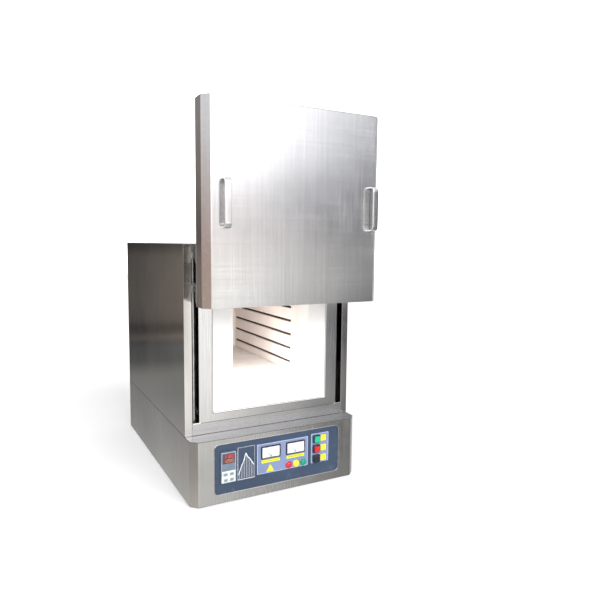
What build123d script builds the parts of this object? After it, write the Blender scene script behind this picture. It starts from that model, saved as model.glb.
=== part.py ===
"""Front-loading pottery kiln with a counterbalanced, vertically lifting door.

Millimetres, +Z up, +X to the right when facing the door, the door faces -Y.
The origin is on the floor, under the middle of the overall box. The door is
modelled raised; it closes by sliding DOOR_TRAVEL down.
"""

import os

from build123d import *

# ---- Driving dimensions ----------------------------------------------------
WIDTH = 600.0  # base and casing
DEPTH = 900.0  # base front face to rear cover
BASE_TOP = 211.0
CASING_TOP = 816.0
BASE_LIFT = 3.0  # gap between the wrap's lower edge and the floor
SHEET = 1.5  # stainless sheet
CORNER = 22.0  # 45 degree fold on the vertical front corners
CASING_SETBACK = 66.0  # casing front face behind the base front face

DOOR_WIDTH = 590.0
DOOR_HEIGHT = 586.0
DOOR_FOLD = 21.0
DOOR_DEPTH = 71.0
DOOR_FACE = -117.0  # door front face, from the base front face
DOOR_BOTTOM = 635.0  # raised
DOOR_TRAVEL = 414.0
HANDLE_REACH = 27.0
GLAND_REACH = 28.0

MOUTH_Z = 514.5  # middle of the chamber opening
MOUTH_HALF_W = 139.0
MOUTH_HALF_H = 175.0
CHAMBER_HALF_W = 131.0
CHAMBER_FLOOR = 347.0
CHAMBER_ROOF = 682.0
CHAMBER_REAR = 720.0
FACE_HALF_W = 206.0  # white ceramic front face
FACE_HALF_H = 234.5
FRAME_HALF_W = 253.0  # stainless frame round it
SLOT_OUTER = 275.0
SLOT_BOTTOM = 249.0
SLOT_TOP = 806.0

GROOVE_PITCH = 50.0
GROOVE_FIRST = 390.0
GROOVE_COUNT = 6
GROOVE_WIDTH = 9.0
GROOVE_DEPTH = 14.0

LIFT_X = 263.0  # guide rod, in line with the slot
ROD_Y = 93.0
ROD_R = 8.0
ROPE_X = 246.0
ROPE_R = 1.5
PULLEY_R = 40.0  # to the rope's centre line
SHAFT_Y = 160.0
SHAFT_R = 6.0
UPPER_SHAFT_Z = 762.0
LOWER_SHAFT_Z = 256.0
CLAMP_Z = (700.0, 720.0)  # carriage rope clamp with the door raised
CLAMP_CUT = (CLAMP_Z[0] - 1, CLAMP_Z[1] + 1)

PANEL_HALF_W = 226.0
PANEL_Z = (32.0, 192.0)
PANEL_CORNER = 14.0
RUN_GAP = 0.08  # radial clearance of a running fit
HOLE_GAP = 0.2  # clearance round a part in its hole
CUT_LENGTH = 10.0  # length of a cut that clears any sheet
KEY_TRAVEL = 0.8
BUTTON_TRAVEL = 4.0

# ---- Derived places --------------------------------------------------------
# y of the base front face, so that the overall box is centred on the origin
FRONT = -(DEPTH + GLAND_REACH + DOOR_FACE - HANDLE_REACH) / 2
HALF_W = WIDTH / 2
CASING_Y = CASING_SETBACK
PANEL_Y = SHEET  # front face of the control panel plate
PANEL_MID = sum(PANEL_Z) / 2
PANEL_HEIGHT = PANEL_Z[1] - PANEL_Z[0]
DOOR_TOP = DOOR_BOTTOM + DOOR_HEIGHT
DOOR_MID = DOOR_BOTTOM + DOOR_HEIGHT / 2
DOOR_BACK = DOOR_FACE + DOOR_DEPTH
CASE_HALF_W = 233.0  # inner case round the lining
CASE_Z = (266.0, 747.0)
CASE_REAR = 802.0
LINING_HALF_W = CASE_HALF_W - SHEET - 0.5
LINING_Z = (CASE_Z[0] + SHEET, CASE_Z[1] - SHEET)
LINING_FRONT = 126.0
SIDES = {"left": -1, "right": 1}

os.makedirs("parts", exist_ok=True)


def facing_front(y):
    """Sketch plane that faces the front, y behind the base front face."""
    return Plane.XZ.offset(-(FRONT + y))


def cutting(y):
    """Sketch plane for a cut through a sheet at y, half of CUT_LENGTH in front of it."""
    return facing_front(y - CUT_LENGTH / 2)


def block(x, y, z, mode=Mode.ADD):
    """Box between two places on each axis; y counts from the base front."""
    middle = (sum(x) / 2, FRONT + sum(y) / 2, sum(z) / 2)
    with Locations(middle):
        Box(x[1] - x[0], y[1] - y[0], z[1] - z[0], mode=mode)


def rod(x, y, z, radius, axis, mode=Mode.ADD):
    """Round bar along one axis, given by its span there and a place on the others."""
    turn = {"x": (0, 90, 0), "y": (90, 0, 0), "z": (0, 0, 0)}[axis]
    spans = {"x": x, "y": y, "z": z}
    length = spans[axis][1] - spans[axis][0]
    spans[axis] = sum(spans[axis]) / 2
    with Locations((spans["x"], FRONT + spans["y"], spans["z"])):
        Cylinder(radius, length, rotation=turn, mode=mode)


def span(middle, half):
    """The two ends of a span about its middle."""
    return (middle - half, middle + half)


def outward(side, inner, outer):
    """x span between two distances from the middle plane, on one side."""
    return tuple(sorted((side * inner, side * outer)))


def save(builder, label):
    """Name a finished piece and write its STEP file."""
    builder.part.label = label
    export_step(builder.part, f"parts/{label}.step")


def folded_plan(half_width, fold, front, rear, inset):
    """Plan of a box with folded front corners and an open rear, inset from its skin."""
    half = half_width - inset
    fold = fold - inset * (2 - 2**0.5)
    front = FRONT + front + inset
    rear = FRONT + rear
    return [
        (-half, rear),
        (-half, front + fold),
        (-half + fold, front),
        (half - fold, front),
        (half, front + fold),
        (half, rear),
    ]


def base_plan(inset):
    """Plan of the base, inset from its outer skin."""
    return folded_plan(HALF_W, CORNER, 0, DEPTH, inset)


def door_plan(inset):
    """Plan of the door, inset from its outer skin."""
    return folded_plan(DOOR_WIDTH / 2, DOOR_FOLD, DOOR_FACE, DOOR_BACK, inset)


# ---- Base ------------------------------------------------------------------
DECK_T = 2.0
with BuildPart() as base_wrap:
    with BuildSketch(Plane.XY.offset(BASE_LIFT)):
        Polygon(*base_plan(0), align=None)
    extrude(amount=BASE_TOP - DECK_T - BASE_LIFT)
    with BuildSketch(Plane.XY.offset(BASE_LIFT)):
        Polygon(*base_plan(SHEET), align=None)
    extrude(amount=BASE_TOP, mode=Mode.SUBTRACT)
    with BuildSketch(cutting(0)):
        with Locations((0, PANEL_MID)):
            RectangleRounded(2 * PANEL_HALF_W, PANEL_HEIGHT, PANEL_CORNER)
    extrude(amount=-CUT_LENGTH, mode=Mode.SUBTRACT)
save(base_wrap, "base_wrap")

with BuildPart() as base_deck:
    with BuildSketch(Plane.XY.offset(BASE_TOP - DECK_T)):
        Polygon(*base_plan(0), align=None)
    extrude(amount=DECK_T)
save(base_deck, "base_deck")

BOTTOM_Z = (12.0, 14.0)
with BuildPart() as base_bottom_plate:
    with BuildSketch(Plane.XY.offset(BOTTOM_Z[0])):
        Polygon(*base_plan(SHEET + HOLE_GAP), align=None)
    extrude(amount=BOTTOM_Z[1] - BOTTOM_Z[0])
save(base_bottom_plate, "base_bottom_plate")

GLAND_X, GLAND_Z = 200.0, 70.0
GLAND_THREAD_R = 12.5
BASE_LOUVRE_X = [-210.0 + 52.0 * column for column in range(7)]
BASE_LOUVRE_Z = 105.0
BASE_LOUVRE = (90.0, 8.0)  # length and width
with BuildPart() as base_rear_panel:
    block(span(0, HALF_W - SHEET), (DEPTH - SHEET, DEPTH), (BOTTOM_Z[1], BASE_TOP - DECK_T))
    with BuildSketch(cutting(DEPTH)):
        with Locations((GLAND_X, GLAND_Z)):
            Circle(GLAND_THREAD_R + HOLE_GAP / 2)
        with Locations(*[(x, BASE_LOUVRE_Z) for x in BASE_LOUVRE_X]):
            SlotOverall(*BASE_LOUVRE, rotation=90)
    extrude(amount=-CUT_LENGTH, mode=Mode.SUBTRACT)
save(base_rear_panel, "base_rear_panel")

FOOT_R = 20.0
FOOT_X = 235.0
FOOT_INSET = 70.0
with BuildPart() as feet:
    for x in (-FOOT_X, FOOT_X):
        for y in (FOOT_INSET, DEPTH - FOOT_INSET):
            with Locations((x, FRONT + y, 0)):
                Cylinder(FOOT_R, BOTTOM_Z[0], align=(Align.CENTER, Align.CENTER, Align.MIN))
    chamfer(feet.edges().group_by(Axis.Z)[0], 2)
save(feet, "feet")

# ---- Control panel ---------------------------------------------------------
CONTROLLER_X, CONTROLLER_Z = -182.0, 118.0
CONTROLLER_W, CONTROLLER_H = 50.0, 100.0
CONTROLLER_BODY_W, CONTROLLER_BODY_H = 45.0, 92.0
METER_X = {"left": -33.0, "right": 58.0}
METER_Z = 142.0
METER_W, METER_H = 70.0, 42.0
METER_BORDER = 3.2
METER_BODY_R = 20.0
METER_CORNER = 3.0
LAMPS = {"red": 33.0, "yellow": 60.0, "green": 87.0}
LAMP_Z = 85.5
LAMP_R = 12.0
LAMP_BODY_R = LAMP_R - 2.5
BUTTONS = {"green": 158.0, "red": 123.5, "black": 89.0}
BUTTON_X = 137.5
BUTTON_W = 26.0
BUTTON_BARREL_R = 11.0
LEGEND_X = 166.0
PANEL_MARGIN = 7.5  # of the plate behind the sheet, round its cut-out
PANEL_T = 2.5
METER_PLATE = ((12.0, 121.5), (188.0, 101.0))  # middle and size
BUTTON_PLATE = ((152.5, 125.0), (69.0, 103.0))
PLATE_CORNER = 3.0


def instrument_holes():
    """Round holes for the meters, the lamps and the button barrels."""
    with Locations(*[(x, METER_Z) for x in METER_X.values()]):
        Circle(METER_BODY_R + HOLE_GAP, mode=Mode.SUBTRACT)
    with Locations(*[(x, LAMP_Z) for x in LAMPS.values()]):
        Circle(LAMP_BODY_R + HOLE_GAP, mode=Mode.SUBTRACT)
    with Locations(*[(BUTTON_X, z) for z in BUTTONS.values()]):
        Circle(BUTTON_BARREL_R + HOLE_GAP, mode=Mode.SUBTRACT)


with BuildPart() as control_panel_plate:
    with BuildSketch(facing_front(PANEL_Y)):
        with Locations((0, PANEL_MID)):
            RectangleRounded(
                2 * (PANEL_HALF_W + PANEL_MARGIN), PANEL_HEIGHT + 2 * PANEL_MARGIN, PANEL_CORNER
            )
        with Locations((CONTROLLER_X, CONTROLLER_Z)):
            Rectangle(
                CONTROLLER_BODY_W + 2 * HOLE_GAP,
                CONTROLLER_BODY_H + 2 * HOLE_GAP,
                mode=Mode.SUBTRACT,
            )
        instrument_holes()
    extrude(amount=-PANEL_T)
save(control_panel_plate, "control_panel_plate")

PLATE_T = 1.0
with BuildPart() as instrument_plates:
    with BuildSketch(facing_front(PANEL_Y)):
        for middle, size in (METER_PLATE, BUTTON_PLATE):
            with Locations(middle):
                RectangleRounded(*size, PLATE_CORNER)
        instrument_holes()
    extrude(amount=PLATE_T)
save(instrument_plates, "instrument_plates")

PLATE_Y = PANEL_Y - PLATE_T  # front face of the instrument plates
CONTROLLER_Y = PANEL_Y - 8.0
CONTROLLER_BODY_DEPTH = 74.0
DISPLAY_HALF_W = 20.0
DISPLAY_Z = (131.0, 163.0)
KEY_X = (CONTROLLER_X - 10.0, CONTROLLER_X + 10.0)
KEY_Z = (96.0, 78.0)
KEY_W, KEY_H = 14.0, 10.0
KEY_GAP = 0.4
KEY_WELL = CONTROLLER_Y + 3.0  # floor of the wells that the keys sink into
KEY_PROUD = 1.2
KEY_T = 3.2
with BuildPart() as temperature_controller:
    with BuildSketch(facing_front(PANEL_Y)):
        with Locations((CONTROLLER_X, CONTROLLER_Z)):
            RectangleRounded(CONTROLLER_W, CONTROLLER_H, 3)
    extrude(amount=PANEL_Y - CONTROLLER_Y)
    chamfer(temperature_controller.faces().sort_by(Axis.Y)[0].edges(), 1.2)
    block(
        span(CONTROLLER_X, CONTROLLER_BODY_W / 2),
        (PANEL_Y, PANEL_Y + CONTROLLER_BODY_DEPTH),
        span(CONTROLLER_Z, CONTROLLER_BODY_H / 2),
    )
    block(
        span(CONTROLLER_X, DISPLAY_HALF_W + HOLE_GAP),
        (CONTROLLER_Y - 1, CONTROLLER_Y + 2),
        (DISPLAY_Z[0] - HOLE_GAP, DISPLAY_Z[1] + HOLE_GAP),
        Mode.SUBTRACT,
    )
    for x in KEY_X:
        for z in KEY_Z:
            block(
                span(x, KEY_W / 2 + KEY_GAP),
                (CONTROLLER_Y - 1, KEY_WELL),
                span(z, KEY_H / 2 + KEY_GAP),
                Mode.SUBTRACT,
            )
save(temperature_controller, "temperature_controller")

with BuildPart() as controller_display:
    block(span(CONTROLLER_X, DISPLAY_HALF_W), (CONTROLLER_Y + 0.3, CONTROLLER_Y + 2), DISPLAY_Z)
save(controller_display, "controller_display")

for row, z in enumerate(KEY_Z):
    for column, x in enumerate(KEY_X):
        with BuildPart() as controller_key:
            with BuildSketch(facing_front(CONTROLLER_Y - KEY_PROUD + KEY_T)):
                with Locations((x, z)):
                    RectangleRounded(KEY_W, KEY_H, 3)
            extrude(amount=KEY_T)
            fillet(controller_key.faces().sort_by(Axis.Y)[0].edges(), 0.8)
        save(controller_key, f"controller_key_{2 * row + column + 1}")

METER_FACE = PLATE_Y - 5.0
DIAL_DEPTH = 4.2
METER_BODY_DEPTH = 36.0  # behind the panel
LENS_Y = (METER_FACE + 0.4, METER_FACE + 1.5)
HUB_Y = (METER_FACE + 2.0, METER_FACE + 3.2)
HUB_R = 2.6
NEEDLE_Y = METER_FACE + 3.0
NEEDLE_T = 0.6
NEEDLE_TIP = (-17.5, 18.5)  # from the pivot
PIVOT_DROP = 12.5  # needle pivot below the middle of the meter
for side, x in METER_X.items():
    with BuildPart() as meter_case:
        with BuildSketch(facing_front(PLATE_Y)):
            with Locations((x, METER_Z)):
                RectangleRounded(METER_W, METER_H, METER_CORNER)
        extrude(amount=PLATE_Y - METER_FACE)
        chamfer(meter_case.faces().sort_by(Axis.Y)[0].edges(), 1)
        block(
            span(x, METER_W / 2 - METER_BORDER),
            (METER_FACE - 1, METER_FACE + DIAL_DEPTH),
            span(METER_Z, METER_H / 2 - METER_BORDER),
            Mode.SUBTRACT,
        )
        rod(x, (PLATE_Y, PANEL_Y + METER_BODY_DEPTH), METER_Z, METER_BODY_R, "y")
    save(meter_case, f"meter_case_{side}")

    pivot_z = METER_Z - PIVOT_DROP
    with BuildPart() as needle:
        rod(x, HUB_Y, pivot_z, HUB_R, "y")
        with BuildSketch(facing_front(NEEDLE_Y)):
            with BuildLine():
                Polyline(
                    (x + NEEDLE_TIP[0], pivot_z + NEEDLE_TIP[1]),
                    (x - 1.6, pivot_z - 0.3),
                    (x + 0.3, pivot_z + 1.6),
                    close=True,
                )
            make_face()
        extrude(amount=NEEDLE_T)
    save(needle, f"needle_{side}")

LENS_BORDER = METER_BORDER + HOLE_GAP / 2
with BuildPart() as meter_lenses:
    for x in METER_X.values():
        block(
            span(x, METER_W / 2 - LENS_BORDER),
            LENS_Y,
            span(METER_Z, METER_H / 2 - LENS_BORDER),
        )
save(meter_lenses, "meter_lenses")

LAMP_FLANGE_T = 3.0
LAMP_DOME = 6.0
LAMP_BODY_DEPTH = 26.0  # behind the panel

for colour, x in LAMPS.items():
    with BuildPart() as lamp:
        with BuildSketch(facing_front(PLATE_Y)):
            with Locations((x, LAMP_Z)):
                Circle(LAMP_R)
        extrude(amount=LAMP_FLANGE_T)
        with BuildSketch(facing_front(PLATE_Y - LAMP_FLANGE_T)):
            with Locations((x, LAMP_Z)):
                Circle(LAMP_R - 1.5)
        extrude(amount=LAMP_DOME)
        fillet(lamp.faces().sort_by(Axis.Y)[0].edges(), LAMP_DOME - 1)
        rod(x, (PLATE_Y, PANEL_Y + LAMP_BODY_DEPTH), LAMP_Z, LAMP_BODY_R, "y")
    save(lamp, f"lamp_{colour}")

HOLDER_Y = PLATE_Y - 9.0
HOLDER_CORNER = 2.0
BARREL_DEPTH = 34.0  # behind the panel
CAP_HALF = 10.0
CAP_GAP = 0.4
CAP_WELL = PLATE_Y - CAP_GAP  # floor of the holder's square well
CAP_BACK = CAP_WELL - BUTTON_TRAVEL - HOLE_GAP
CAP_FACE = HOLDER_Y - 3.5
STEM_R = 5.0
STEM_END = PANEL_Y + 11.0
STEM_BORE_END = STEM_END + BUTTON_TRAVEL + 1
with BuildPart() as button_holders:
    for z in BUTTONS.values():
        with BuildSketch(facing_front(PLATE_Y)):
            with Locations((BUTTON_X, z)):
                RectangleRounded(BUTTON_W, BUTTON_W, HOLDER_CORNER)
        extrude(amount=PLATE_Y - HOLDER_Y)
    chamfer(button_holders.faces().group_by(Axis.Y)[0].edges(), HOLDER_CORNER)
    for z in BUTTONS.values():
        rod(BUTTON_X, (PLATE_Y, PANEL_Y + BARREL_DEPTH), z, BUTTON_BARREL_R, "y")
        block(
            span(BUTTON_X, CAP_HALF + CAP_GAP),
            (HOLDER_Y - 1, CAP_WELL),
            span(z, CAP_HALF + CAP_GAP),
            Mode.SUBTRACT,
        )
        rod(BUTTON_X, (HOLDER_Y, STEM_BORE_END), z, STEM_R + 0.5, "y", Mode.SUBTRACT)
save(button_holders, "button_holders")

for colour, z in BUTTONS.items():
    with BuildPart() as button:
        with BuildSketch(facing_front(CAP_BACK)):
            with Locations((BUTTON_X, z)):
                RectangleRounded(2 * CAP_HALF, 2 * CAP_HALF, HOLDER_CORNER)
        extrude(amount=CAP_BACK - CAP_FACE)
        fillet(button.faces().sort_by(Axis.Y)[0].edges(), 1.5)
        rod(BUTTON_X, (CAP_BACK - 0.5, STEM_END), z, STEM_R, "y")
    save(button, f"button_{colour}")

LEGEND_T = 1.2
LEGEND_SQUARE = 21.0
METER_STRIP = (66.0, 10.0)
METER_STRIP_Z = 112.0
TRIANGLE_AT = (-35.0, 84.5)
TRIANGLE_R = 16.0
with BuildPart() as legend_plates:
    with BuildSketch(facing_front(PLATE_Y)):
        with Locations(*[(LEGEND_X, z) for z in BUTTONS.values()]):
            RectangleRounded(LEGEND_SQUARE, LEGEND_SQUARE, 1.5)
        with Locations(*[(x, METER_STRIP_Z) for x in METER_X.values()]):
            RectangleRounded(*METER_STRIP, 1)
        with Locations(TRIANGLE_AT):
            RegularPolygon(TRIANGLE_R, 3, rotation=90)
    extrude(amount=LEGEND_T)
save(legend_plates, "legend_plates")

# ---- Casing ----------------------------------------------------------------
TOP_SHEET = 2.0
CASING_SPAN = (BASE_TOP, CASING_TOP - TOP_SHEET)
for name, side in SIDES.items():
    with BuildPart() as side_panel:
        block(outward(side, HALF_W - SHEET, HALF_W), (CASING_Y, DEPTH), CASING_SPAN)
        block(outward(side, SLOT_OUTER, HALF_W), (CASING_Y, CASING_Y + SHEET), CASING_SPAN)
    save(side_panel, f"{name}_side_panel")

with BuildPart() as top_panel:
    block(span(0, HALF_W), (CASING_Y, DEPTH), (CASING_TOP - TOP_SHEET, CASING_TOP))
    block(
        span(0, SLOT_OUTER - HOLE_GAP),
        (CASING_Y, CASING_Y + SHEET),
        (SLOT_TOP, CASING_TOP - TOP_SHEET),
    )
save(top_panel, "top_panel")

COVER_LOUVRE_X = 150.0
COVER_LOUVRE_Z = [690.0 - 22.0 * row for row in range(6)]
COVER_LOUVRE = (150.0, 6.0)  # length and width
with BuildPart() as rear_cover:
    block(span(0, HALF_W - SHEET), (DEPTH - SHEET, DEPTH), CASING_SPAN)
    with BuildSketch(cutting(DEPTH)):
        with Locations(*[(x, z) for x in (-COVER_LOUVRE_X, COVER_LOUVRE_X) for z in COVER_LOUVRE_Z]):
            SlotOverall(*COVER_LOUVRE)
    extrude(amount=-CUT_LENGTH, mode=Mode.SUBTRACT)
save(rear_cover, "rear_cover")

with BuildPart() as front_sill:
    block(span(0, SLOT_OUTER - HOLE_GAP), (CASING_Y, CASING_Y + SHEET), (BASE_TOP, SLOT_BOTTOM))
save(front_sill, "front_sill")

FRAME_T = 2.0
with BuildPart() as mouth_frame:
    with BuildSketch(facing_front(CASING_Y)):
        with Locations((0, (SLOT_BOTTOM + SLOT_TOP) / 2)):
            Rectangle(2 * FRAME_HALF_W, SLOT_TOP - SLOT_BOTTOM)
        with Locations((0, MOUTH_Z)):
            Rectangle(2 * FACE_HALF_W, 2 * FACE_HALF_H, mode=Mode.SUBTRACT)
    extrude(amount=-FRAME_T)
save(mouth_frame, "mouth_frame")

# ---- Hot chamber -----------------------------------------------------------
LEAD_Z = (440.0, 590.0)
LEAD_R = 3.0
LEAD_REACH = 46.0  # behind the inner case
ELEMENT_X = CHAMBER_HALF_W + 6.0
TC_Z = 620.0
TC_R = 6.0
FIT_GAP = 0.5  # round the face block in the stainless frame
FLARE_DEPTH = 24.0  # of the mouth, behind the casing's front
with BuildPart() as inner_case:
    block(span(0, CASE_HALF_W), (CASING_Y + FRAME_T, CASE_REAR), CASE_Z)
    block(
        span(0, CASE_HALF_W - SHEET),
        (CASING_Y, CASE_REAR - SHEET),
        (CASE_Z[0] + SHEET, CASE_Z[1] - SHEET),
        Mode.SUBTRACT,
    )
    for side in SIDES.values():
        for z in LEAD_Z:
            rod(side * ELEMENT_X, span(CASE_REAR, 9), z, LEAD_R + 5, "y", Mode.SUBTRACT)
    rod(0, span(CASE_REAR, 9), TC_Z, TC_R + 0.5, "y", Mode.SUBTRACT)
save(inner_case, "inner_case")

with BuildPart() as mouth_block:
    block(
        span(0, FACE_HALF_W - FIT_GAP),
        (CASING_Y, CASING_Y + FRAME_T),
        span(MOUTH_Z, FACE_HALF_H - FIT_GAP),
    )
    block(span(0, LINING_HALF_W), (CASING_Y + FRAME_T, LINING_FRONT), LINING_Z)
    with BuildSketch(facing_front(CASING_Y)):
        with Locations((0, MOUTH_Z)):
            Rectangle(2 * MOUTH_HALF_W, 2 * MOUTH_HALF_H)
    with BuildSketch(facing_front(CASING_Y + FLARE_DEPTH)):
        with Locations((0, MOUTH_Z)):
            Rectangle(2 * CHAMBER_HALF_W, CHAMBER_ROOF - CHAMBER_FLOOR)
    loft(mode=Mode.SUBTRACT)
    block(
        span(0, CHAMBER_HALF_W),
        (CASING_Y + FLARE_DEPTH - 4, LINING_FRONT + 5),
        (CHAMBER_FLOOR, CHAMBER_ROOF),
        Mode.SUBTRACT,
    )
save(mouth_block, "mouth_block")

LINING_RUN = (LINING_FRONT, CHAMBER_REAR)
GROOVE_RUN = (183.0, CHAMBER_REAR)
for name, side in SIDES.items():
    with BuildPart() as lining_side:
        block(outward(side, CHAMBER_HALF_W, LINING_HALF_W), LINING_RUN, LINING_Z)
        for groove in range(GROOVE_COUNT):
            block(
                outward(side, CHAMBER_HALF_W - 1, CHAMBER_HALF_W + GROOVE_DEPTH),
                GROOVE_RUN,
                span(GROOVE_FIRST + groove * GROOVE_PITCH, GROOVE_WIDTH / 2),
                Mode.SUBTRACT,
            )
    save(lining_side, f"lining_{name}")

with BuildPart() as lining_floor:
    block(span(0, CHAMBER_HALF_W), LINING_RUN, (LINING_Z[0], CHAMBER_FLOOR))
save(lining_floor, "lining_floor")

with BuildPart() as lining_roof:
    block(span(0, CHAMBER_HALF_W), LINING_RUN, (CHAMBER_ROOF, LINING_Z[1]))
save(lining_roof, "lining_roof")

with BuildPart() as lining_rear:
    block(span(0, LINING_HALF_W), (CHAMBER_REAR, CASE_REAR - SHEET), LINING_Z)
    for side in SIDES.values():
        for z in LEAD_Z:
            rod(
                side * ELEMENT_X,
                (CHAMBER_REAR - 1, CASE_REAR),
                z,
                LEAD_R + HOLE_GAP,
                "y",
                Mode.SUBTRACT,
            )
    rod(0, (CHAMBER_REAR - 1, CASE_REAR), TC_Z, TC_R + HOLE_GAP, "y", Mode.SUBTRACT)
save(lining_rear, "lining_rear")

HEARTH_T = 12.0
HEARTH_INSET = 12.0
with BuildPart() as hearth_plate:
    block(
        span(0, CHAMBER_HALF_W - 4),
        (LINING_FRONT + HEARTH_INSET, CHAMBER_REAR - HEARTH_INSET),
        (CHAMBER_FLOOR, CHAMBER_FLOOR + HEARTH_T),
    )
    chamfer(hearth_plate.faces().sort_by(Axis.Z)[-1].edges(), 1.5)
save(hearth_plate, "hearth_plate")

COIL_R = 3.8
with BuildPart() as heating_elements:
    for side in SIDES.values():
        for groove in range(GROOVE_COUNT):
            z = GROOVE_FIRST + groove * GROOVE_PITCH
            rod(side * ELEMENT_X, (GROOVE_RUN[0] + 3, GROOVE_RUN[1] - 1), z, COIL_R, "y")
        for z in LEAD_Z:
            rod(side * ELEMENT_X, (GROOVE_RUN[1] - 2, CASE_REAR + LEAD_REACH), z, LEAD_R, "y")
save(heating_elements, "heating_elements")

TC_TIP = 650.0
TC_FLANGE_R, TC_FLANGE_T = 16.0, 6.0
TC_HEAD_R = 22.0
TC_HEAD_Y = (CASE_REAR + 18, CASE_REAR + 58)
with BuildPart() as thermocouple:
    rod(0, (TC_TIP, TC_HEAD_Y[0] + 2), TC_Z, TC_R, "y")
    fillet(thermocouple.faces().sort_by(Axis.Y)[0].edges(), TC_R - 2)
    rod(0, (CASE_REAR, CASE_REAR + TC_FLANGE_T), TC_Z, TC_FLANGE_R, "y")
    rod(0, TC_HEAD_Y, TC_Z, TC_HEAD_R, "y")
save(thermocouple, "thermocouple")

# ---- Door ------------------------------------------------------------------
with BuildPart() as door_shell:
    with BuildSketch(Plane.XY.offset(DOOR_BOTTOM)):
        Polygon(*door_plan(0), align=None)
    extrude(amount=DOOR_HEIGHT)
    with BuildSketch(Plane.XY.offset(DOOR_BOTTOM + SHEET)):
        Polygon(*door_plan(SHEET), align=None)
    extrude(amount=DOOR_HEIGHT - 2 * SHEET, mode=Mode.SUBTRACT)
save(door_shell, "door_shell")

BOARD_GAP = 2.0
with BuildPart() as door_board:
    with BuildSketch(Plane.XY.offset(DOOR_BOTTOM + SHEET + BOARD_GAP)):
        Polygon(*door_plan(SHEET + BOARD_GAP), align=None)
    extrude(amount=DOOR_HEIGHT - 2 * (SHEET + BOARD_GAP))
save(door_board, "door_board")

PAN_T = 1.5
PAN_BACK = DOOR_BACK + PAN_T
PLUG_HALF_W = 200.0
PLUG_HALF_H = 228.0
PLUG_FACE = CASING_Y - 3.0
PLUG_BEVEL = 12.0
RIM = 26.0
with BuildPart() as door_back_pan:
    block(span(0, DOOR_WIDTH / 2), (DOOR_BACK, PAN_BACK), (DOOR_BOTTOM, DOOR_TOP))
    block(
        span(0, PLUG_HALF_W + 2),
        (PAN_BACK, PAN_BACK + RIM),
        span(DOOR_MID, PLUG_HALF_H + 2),
    )
    block(
        span(0, PLUG_HALF_W + FIT_GAP),
        (PAN_BACK, PAN_BACK + RIM + 1),
        span(DOOR_MID, PLUG_HALF_H + FIT_GAP),
        Mode.SUBTRACT,
    )
save(door_back_pan, "door_back_pan")

with BuildPart() as door_plug:
    block(span(0, PLUG_HALF_W), (PAN_BACK, PLUG_FACE), span(DOOR_MID, PLUG_HALF_H))
    chamfer(door_plug.faces().sort_by(Axis.Y)[-1].edges(), PLUG_BEVEL)
save(door_plug, "door_plug")

HANDLE_X = {"left": -233.0, "right": 260.0}
HANDLE_Z = DOOR_MID + 2
HANDLE_W = 20.0
HANDLE_HALF_L = 70.0
STRAP = 5.0
HANDLE_BEND = 16.0
for name, x in HANDLE_X.items():
    with BuildPart() as handle:
        with BuildSketch(Plane.YZ.offset(x - HANDLE_W / 2)):
            with Locations((FRONT + DOOR_FACE, HANDLE_Z)):
                RectangleRounded(2 * HANDLE_REACH, 2 * HANDLE_HALF_L, HANDLE_BEND)
                RectangleRounded(
                    2 * (HANDLE_REACH - STRAP),
                    2 * (HANDLE_HALF_L - STRAP),
                    HANDLE_BEND - STRAP,
                    mode=Mode.SUBTRACT,
                )
        extrude(amount=HANDLE_W)
        split(bisect_by=Plane.XZ.offset(-(FRONT + DOOR_FACE)), keep=Keep.TOP)
    save(handle, f"handle_{name}")

# ---- Lift ------------------------------------------------------------------
ARM_HALF_T = 4.0
LUG_HALF = 25.0
NECK_HALF = 10.0
BUSH_HALF = 14.0
ARMS = {"lower": (659.0, 676.0), "upper": (781.0, 780.0)}  # lug and neck middles
LUG_END = CASING_Y - 4
BAR_HALF_W = 8.0
BAR_Y = (ROD_Y + BUSH_HALF, ROD_Y + BUSH_HALF + 6)
CLAMP_HALF = 6.0
ROPE_BORE_R = ROPE_R + 0.5
ROPE_FRONT = SHAFT_Y - PULLEY_R
ROPE_REAR = SHAFT_Y + PULLEY_R
for name, side in SIDES.items():
    x = side * LIFT_X
    with BuildPart() as door_arms:
        for lug_z, neck_z in ARMS.values():
            with BuildSketch(Plane.YZ.offset(x - ARM_HALF_T)):
                with BuildLine():
                    Polyline(
                        (FRONT + LUG_END - LUG_HALF, lug_z - LUG_HALF),
                        (FRONT + PAN_BACK, lug_z - LUG_HALF),
                        (FRONT + PAN_BACK, lug_z + LUG_HALF),
                        (FRONT + LUG_END - LUG_HALF, lug_z + LUG_HALF),
                    )
                    ThreePointArc(
                        (FRONT + LUG_END - LUG_HALF, lug_z + LUG_HALF),
                        (FRONT + LUG_END, lug_z),
                        (FRONT + LUG_END - LUG_HALF, lug_z - LUG_HALF),
                    )
                make_face()
            extrude(amount=2 * ARM_HALF_T)
            block(
                span(x, ARM_HALF_T),
                (LUG_END - LUG_HALF, ROD_Y - BUSH_HALF),
                span(neck_z, NECK_HALF),
            )
            block(
                span(x, BUSH_HALF),
                span(ROD_Y, BUSH_HALF),
                (neck_z - NECK_HALF, neck_z - NECK_HALF + 2 * BUSH_HALF),
            )
        low = ARMS["lower"][1] - NECK_HALF
        high = ARMS["upper"][1] - NECK_HALF + 2 * BUSH_HALF
        block(span(x, BAR_HALF_W), BAR_Y, (low, high))
        rod(x, ROD_Y, (low - 1, high + 1), ROD_R + RUN_GAP, "z", Mode.SUBTRACT)
        block(
            outward(side, ROPE_X - CLAMP_HALF, LIFT_X - BAR_HALF_W + 1),
            (BAR_Y[0], ROPE_FRONT + CLAMP_HALF),
            CLAMP_Z,
        )
        rod(side * ROPE_X, ROPE_FRONT, CLAMP_CUT, ROPE_BORE_R, "z", Mode.SUBTRACT)
    save(door_arms, f"door_arms_{name}")

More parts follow.
